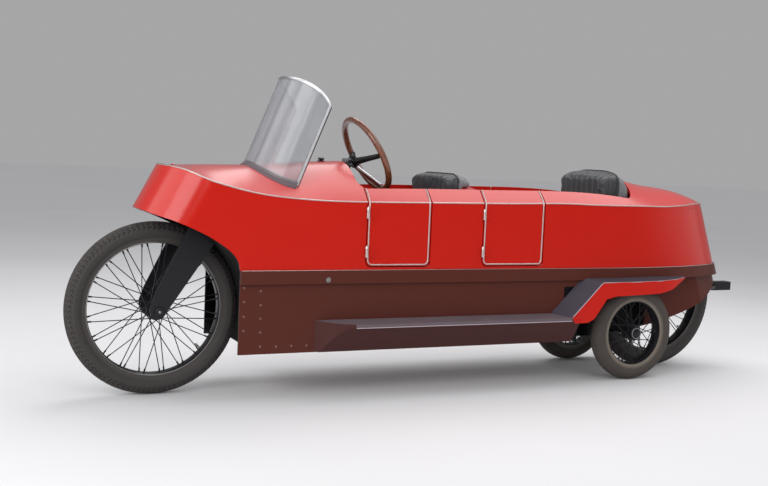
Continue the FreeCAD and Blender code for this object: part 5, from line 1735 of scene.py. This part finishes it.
@dataclass
class Seat:
    """One seat: a pleated cushion and a pleated, piped backrest.

    The bridge is (half width, height of its edge, rise at its middle) of a panel
    under the roll, the tables are (distance, value) pairs, and a form is (power, cuts)
    of a pillow. A fade is (start, width) of a ramp from 0 to 1, or its width alone.
    """

    finishes: Finishes
    word: str
    roll_low: float
    roll_top: float
    seam: float
    bridge: tuple = ()
    pleats: int = 9
    pleated_width: float = 0.39
    pleated_half: float = 0.186
    pleat_depth: float = 0.0045
    pleat_round: float = 0.0025
    stitch: float = 0.0036
    face_fade: tuple = (0.45, 0.3)
    flank_fade: tuple = (0.6, 0.3)
    edge_fade: float = 0.012
    back_fade: float = 0.006
    swell: float = 0.010
    cell: float = 0.0065
    pressure: float = 4.0
    frames: int = 20
    quality: int = 6
    skin: float = 0.001
    inset: float = 0.005
    cushion_form: tuple = (7.0, 24)
    cushion_ends: tuple = (0.024, 0.030)
    cushion_tops: tuple = (0.84, 0.93, 1.0, 0.9)
    cushion_lift: float = 0.003
    cushion_faces: tuple = (0.25, 0.0, 1.0)
    pad_form: tuple = (7.0, 26)
    pad_depth: float = 0.075
    pad_fall: float = 0.20
    back_faces: tuple = (1.0, 0.0, 0.6)
    roll_form: tuple = (9.0, 30)
    roll_crest: float = 0.55
    roll_least: float = 0.006
    margin: float = 0.004
    skirt: tuple = (0.066, 0.078)
    skirt_drop: float = 0.06
    crests: tuple = ((0, 0), (0.05, 0.001), (0.0975, 0.005), (0.135, 0.012), (0.165, 0.024),
                     (0.181, 0.038), (0.195, 0.064))
    spans: tuple = ((0, 0.190), (0.105, 0.190), (0.127, 0.186), (0.149, 0.176), (0.167, 0.150),
                    (0.178, 0.128))
    drops: tuple = ((0, 0.10), (0.08, 0.03), (0.22, 0), (0.55, 0), (0.75, 0.13), (0.92, 0.38),
                    (1, 0.66))
    cord: float = 0.0036
    cord_stand: float = 0.0012
    cord_half: float = 0.192
    cord_foot: float = 0.012
    cord_side: float = 0.200
    cord_drop: float = 0.006
    cord_points: tuple = (73, 16)

    def build(self) -> None:
        """Makes both pieces in the space of their CAD solids."""
        self.cushion()
        self.backrest()

    def space(self, node: str) -> tuple:
        """The corners of the space inside a CAD solid's box."""
        low, high = (np.array(corner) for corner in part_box(node))
        return low + self.skin, high - self.skin

    def puff(self, name: str, forms: Sequence[Patch], low: Array, high: Array) -> Object:
        """Swells forms as one stuffed cloth and keeps it inside its box.

        Args:
            name: the piece's name.
            forms: the closed forms before swelling, joined by the remesh.
            low: lowest corner of the space.
            high: highest corner of the space.

        Returns:
            An object with no modifiers, one subdivision finer than its cells.
        """
        made = meshed(name, joined(forms))
        bpy.context.view_layer.objects.active = made
        remesh = made.modifiers.new("cells", "REMESH")
        remesh.mode = "VOXEL"
        remesh.voxel_size = self.cell
        bpy.ops.object.modifier_apply(modifier=remesh.name)
        before = vectors_of(made.data.vertices, "co")
        after = before
        cloth = made.modifiers.new("stuffing", "CLOTH")
        cloth.settings.use_pressure = True
        cloth.settings.uniform_pressure_force = self.pressure
        cloth.settings.effector_weights.gravity = 0.0
        cloth.settings.quality = self.quality
        scene = bpy.context.scene
        scene.frame_start, scene.frame_end = 1, self.frames
        for moment in range(1, self.frames + 1):
            scene.frame_set(moment)
        shown = made.evaluated_get(bpy.context.evaluated_depsgraph_get())
        after = vectors_of(shown.data.vertices, "co")
        made.modifiers.remove(cloth)
        scene.frame_set(1)
        move = after - before
        length = np.linalg.norm(move, axis=1, keepdims=True)
        move = move * np.minimum(1.0, self.swell / np.maximum(length, TINY))
        points = np.clip(before + move, low, high)
        made.data.vertices.foreach_set("co", points.ravel())
        finer = made.modifiers.new("finer", "SUBSURF")
        finer.levels = finer.render_levels = 1
        bpy.ops.object.modifier_apply(modifier=finer.name)
        return made

    def sink(self, points: Array, normals: Array, reach: Vec, ahead: float, behind: float) -> Array:
        """How deep the pleats sink in at each point.

        Args:
            points: the surface's points.
            normals: their normals.
            reach: the direction that a pleated face looks in.
            ahead: X of the pleated face.
            behind: X where the pleats end.

        Returns:
            The depths: a stitch line between pleats and a slight round on each, over
            the face, and the stitch lines alone down the flanks.
        """
        width = self.pleated_width / self.pleats
        away = np.abs(((points[:, 1] / width + 0.5 * (self.pleats % 2)) % 1.0) - 0.5)
        line = np.exp(-((0.5 - away) * width / self.stitch) ** 2)
        puffed = 0.5 - 0.5 * np.cos(2 * math.pi * (0.5 - away))
        start, fade = self.face_fade
        facing = np.clip((normals @ unit(np.array(reach)) - start) / fade, 0, 1)
        margin = np.clip((self.pleated_half - np.abs(points[:, 1])) / self.edge_fade, 0, 1)
        depth = (self.pleat_depth * line + self.pleat_round * (1 - puffed)) * facing * margin
        flank = np.abs(((points[:, 0] - ahead) / width % 1.0) - 0.5)
        seams = np.exp(-((0.5 - flank) * width / self.stitch) ** 2)
        start, fade = self.flank_fade
        depth += self.pleat_depth * seams * np.clip((np.abs(normals[:, 1]) - start) / fade, 0, 1)
        return depth * np.clip((points[:, 0] - behind) / self.back_fade, 0, 1)

    def finish(self, made: Object, node: str, reach: Vec, ahead: float,
               behind: float, leather: Material) -> None:
        """Sinks the pleats, then dresses the piece, puts it on the car and hides its CAD node.

        Args:
            made: the swollen piece.
            node: the CAD node that it stands for.
            reach: the direction that a pleated face looks in.
            ahead: X of the pleated face.
            behind: X where the pleats end.
            leather: the piece's finish.
        """
        mesh = made.data
        points = vectors_of(mesh.vertices, "co")
        normals = vectors_of(mesh.vertex_normals, "vector")
        depth = self.sink(points, normals, reach, ahead, behind)
        mesh.vertices.foreach_set("co", (points - normals * depth[:, None]).ravel())
        settle(made, leather, "car")
        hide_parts(node)

    def cushion(self) -> None:
        """The cushion: a low pillow whose top rises to a rounded front edge."""
        node = f"{self.word}_seat_cushion"
        low, high = self.space(node)
        form = superblock(low + self.inset, high - self.inset, *self.cushion_form)
        length = high[0] - low[0]
        rear, front = self.cushion_ends
        top = np.interp(form.points[:, 0] - low[0], [0, rear, length - front, length],
                        self.cushion_tops)
        form.points[:, 2] = low[2] + self.cushion_lift + (form.points[:, 2] - low[2]) * top
        made = self.puff(f"{self.word}_cushion", [form], low, high)
        self.finish(made, node, self.cushion_faces, high[0], low[0], self.finishes.leather)

    def crest(self, y: Array) -> Array:
        """How far the backrest's top lies below its middle at each distance from it."""
        return np.interp(np.abs(y), *np.transpose(self.crests))

    def pad(self, low: Array, high: Array) -> Patch:
        """The backrest's upright pad, whose top falls by the crest over its upper part."""
        face, top = high[0], high[2]
        form = superblock((face - self.pad_depth, low[1] + self.inset, low[2] + self.margin),
                          (face - self.margin, high[1] - self.inset, top - self.inset),
                          *self.pad_form)
        upper = np.clip((form.points[:, 2] - top + self.pad_fall) / self.pad_fall, 0, 1)
        form.points[:, 2] -= upper * self.crest(form.points[:, 1])
        return form

    def roll(self, low: Array, high: Array) -> Patch:
        """The roll behind the pad: a squared pillow whose span, top and floor vary.

        Its top falls by the drop table along its depth and by part of the crest across
        it. Its floor lies over the bridge, if there is one, with a skirt ahead of it.
        """
        form = superblock((0.0, -1.0, 0.0), (1.0, 1.0, 1.0), *self.roll_form)
        share, b, c = form.points.T
        depth = (high[0] - low[0] - 2 * self.inset) * share
        y = b * np.interp(depth, *np.transpose(self.spans))
        places, drops = np.transpose(self.drops)
        drop = np.interp(share, places, drops * (self.roll_top - self.roll_low))
        ceiling = self.roll_top - self.margin - self.crest(y) * self.roll_crest - drop
        floor = np.full(len(y), self.roll_low + self.margin)
        if self.bridge:
            half, height, rise = self.bridge
            over = height + rise * (1 - (y / half) ** 2) + self.margin
            skirt = np.interp(depth, self.skirt, [1, 0])
            floor = over + (self.roll_low - self.skirt_drop - over) * skirt
        form.points = at(high[0] - self.inset - depth, y,
                         floor + c * np.maximum(ceiling - floor, self.roll_least))
        return form

    def backrest(self) -> None:
        """The backrest: an upright pad with a roll over what stands behind it.

        The pad and the roll are two pillows that the remesh joins.
        """
        node = f"{self.word}_seat_back"
        low, high = self.space(node)
        made = self.puff(f"{self.word}_backrest", [self.pad(low, high), self.roll(low, high)],
                         low, high)
        back = high[0] - self.seam
        hide = replace(SEAT_LEATHER, name=f"{self.word}_backrest_leather", split=back).build()
        self.finish(made, node, self.back_faces, high[0], back, hide)
        self.piping(made, back, high[2])

    def piping(self, made: Object, back: float, top: float) -> None:
        """The corded seam behind the pleats, laid onto the stuffed surface.

        A line up one side, over the crest and down the other, each of whose points
        moves to the nearest point of the surface and is then smoothed, twice.

        Args:
            made: the finished backrest.
            back: X of the seam.
            top: the backrest's height.
        """
        foot = self.roll_low + self.cord_foot
        across, down = self.cord_points
        y = np.linspace(-self.cord_half, self.cord_half, across)
        arc = at(back, y, top + self.margin - self.crest(y))
        leg = at(back, self.cord_side, np.linspace(foot, arc[0, 2] - self.cord_drop, down))
        path = np.vstack([leg * MIRROR, arc, leg[::-1]])
        path[:, 2] = np.maximum(path[:, 2], foot)
        mesh = made.data
        tree = BVHTree.FromPolygons([v.co[:] for v in mesh.vertices],
                                    [tuple(face.vertices) for face in mesh.polygons])
        for _ in range(2):
            hits = [tree.find_nearest(Vector(spot)) for spot in path]
            path = np.array([hit[0] + hit[1] * self.cord_stand for hit in hits])
            path[1:-1] = 0.25 * path[:-2] + 0.5 * path[1:-1] + 0.25 * path[2:]
        piece(f"{self.word}_piping", [carried(path, circle(self.cord, 8), (1, 0, 0))],
              self.finishes.piping)


@dataclass
class Studio:
    """Pale floor, soft lights and the photograph's camera.

    A lamp is (name, place, target, size, power).
    """

    position: tuple = (2.3182, 4.2404, 1.0221)
    yaw: float = math.radians(25.22)
    pitch: float = math.radians(4.85)
    roll: float = math.radians(2.51)
    lens: float = 49.2
    sensor: float = 36.0
    far: float = 200.0
    floor_half: float = 40.0
    floor_colors: tuple = ((0.60, 0.60, 0.61), (0.63, 0.63, 0.64))
    floor_roughness: float = 0.85
    sky: tuple = (0.66, 0.66, 0.67)
    sky_strength: float = 0.95
    seen_less: float = 0.37
    mirrored_less: float = 0.60
    lamps: tuple = (
        ("overhead_softbox", (-1.0, -0.6, 3.6), (-0.6, -0.2, 0.4), (5.2, 2.6), 116),
        ("side_softbox", (0.6, 5.2, 3.4), (0.0, 0.0, 0.5), (3.6, 3.6), 80),
        ("nose_softbox", (4.6, 2.4, 2.5), (0.9, 0.0, 0.6), (3.6, 3.6), 145),
        ("front_softbox", (5.6, -1.2, 2.4), (1.2, 0.0, 0.6), (3.4, 3.4), 60),
        ("tail_softbox", (-4.8, 1.3, 2.5), (-1.2, 0.0, 0.7), (3.0, 4.6), 26))

    def build(self) -> None:
        """Makes floor, lights, world and camera."""
        self.floor()
        self.world()
        for entry in self.lamps:
            self.lamp(*entry)
        self.camera()

    def floor(self) -> None:
        """A pale floor that reaches far behind the car."""
        size = self.floor_half
        corners = np.array([(-size, -size, 0), (size, -size, 0), (size, size, 0), (-size, size, 0)])
        made = meshed("studio_floor", Patch(corners, [(0, 1, 2, 3)]))
        material, w, main = shader("studio_floor")
        tone = w.clouds(w.place(), 0.6, 3.0, 0.2, 0.8)
        w.feed(main, {"Base Color": w.blend(tone, *(rgba(color) for color in self.floor_colors)),
                      "Roughness": self.floor_roughness})
        made.data.materials.append(material)

    def world(self) -> None:
        """An even pale world, darker where it is seen or mirrored."""
        world = bpy.data.worlds.new("studio")
        world.use_nodes = True
        w = Wiring(world.node_tree)
        path = w.add("ShaderNodeLightPath").outputs
        seen = w.math("MAXIMUM", path["Is Camera Ray"], path["Is Transmission Ray"])
        mirror = w.times(path["Is Glossy Ray"], path["Is Reflection Ray"])
        level = w.minus(w.minus(self.sky_strength, w.times(seen, self.seen_less)),
                        w.times(mirror, self.mirrored_less))
        w.feed(world.node_tree.nodes["Background"], {"Color": rgba(self.sky), "Strength": level})
        bpy.context.scene.world = world

    @staticmethod
    def lamp(name: str, place: tuple, target: tuple, size: tuple, power: float) -> None:
        """A rectangular area lamp that looks at a point.

        Args:
            name: the lamp's name.
            place: where it stands.
            target: the point that it looks at.
            size: its two sides.
            power: its power in watts.
        """
        light = bpy.data.lights.new(name, "AREA")
        light.shape = "RECTANGLE"
        light.size, light.size_y = size
        light.energy = power
        made = linked(name, light)
        made.location = place
        way = Vector(target) - Vector(place)
        made.rotation_euler = way.to_track_quat("-Z", "Y").to_euler()

    def camera(self) -> None:
        """The camera that was fitted to the photograph."""
        look = at(-math.sin(self.yaw) * math.cos(self.pitch),
                  -math.cos(self.yaw) * math.cos(self.pitch), -math.sin(self.pitch))
        right = at(-math.cos(self.yaw), math.sin(self.yaw), 0.0)
        up = np.cross(right, look)
        c, s = math.cos(self.roll), math.sin(self.roll)
        columns = np.stack([c * right + s * up, -s * right + c * up, -look], -1)
        data = bpy.data.cameras.new("photo_camera")
        data.sensor_width = self.sensor
        data.lens = self.lens
        data.clip_end = self.far
        made = linked("photo_camera", data)
        made.matrix_world = Matrix.Translation(self.position) @ Matrix(columns.tolist()).to_4x4()
        bpy.context.scene.camera = made


def main() -> None:
    """Builds the car's looks and the studio."""
    bpy.context.scene.view_settings.view_transform = "Standard"
    finishes = Finishes()
    Studio().build()
    for assembly in (BodyPanels, Fenders, Doors, Windscreen, RoadWheels, ForkAndSteering):
        assembly(finishes).build()
        log.info("%s is built", assembly.__name__)
    Seat(finishes, "front", roll_low=0.905, roll_top=0.955, seam=0.064,
         bridge=(0.215, 0.879, 0.020)).build()
    Seat(finishes, "rear", roll_low=0.820, roll_top=0.990, seam=0.092).build()
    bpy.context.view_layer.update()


if __name__ == "__main__":
    main()
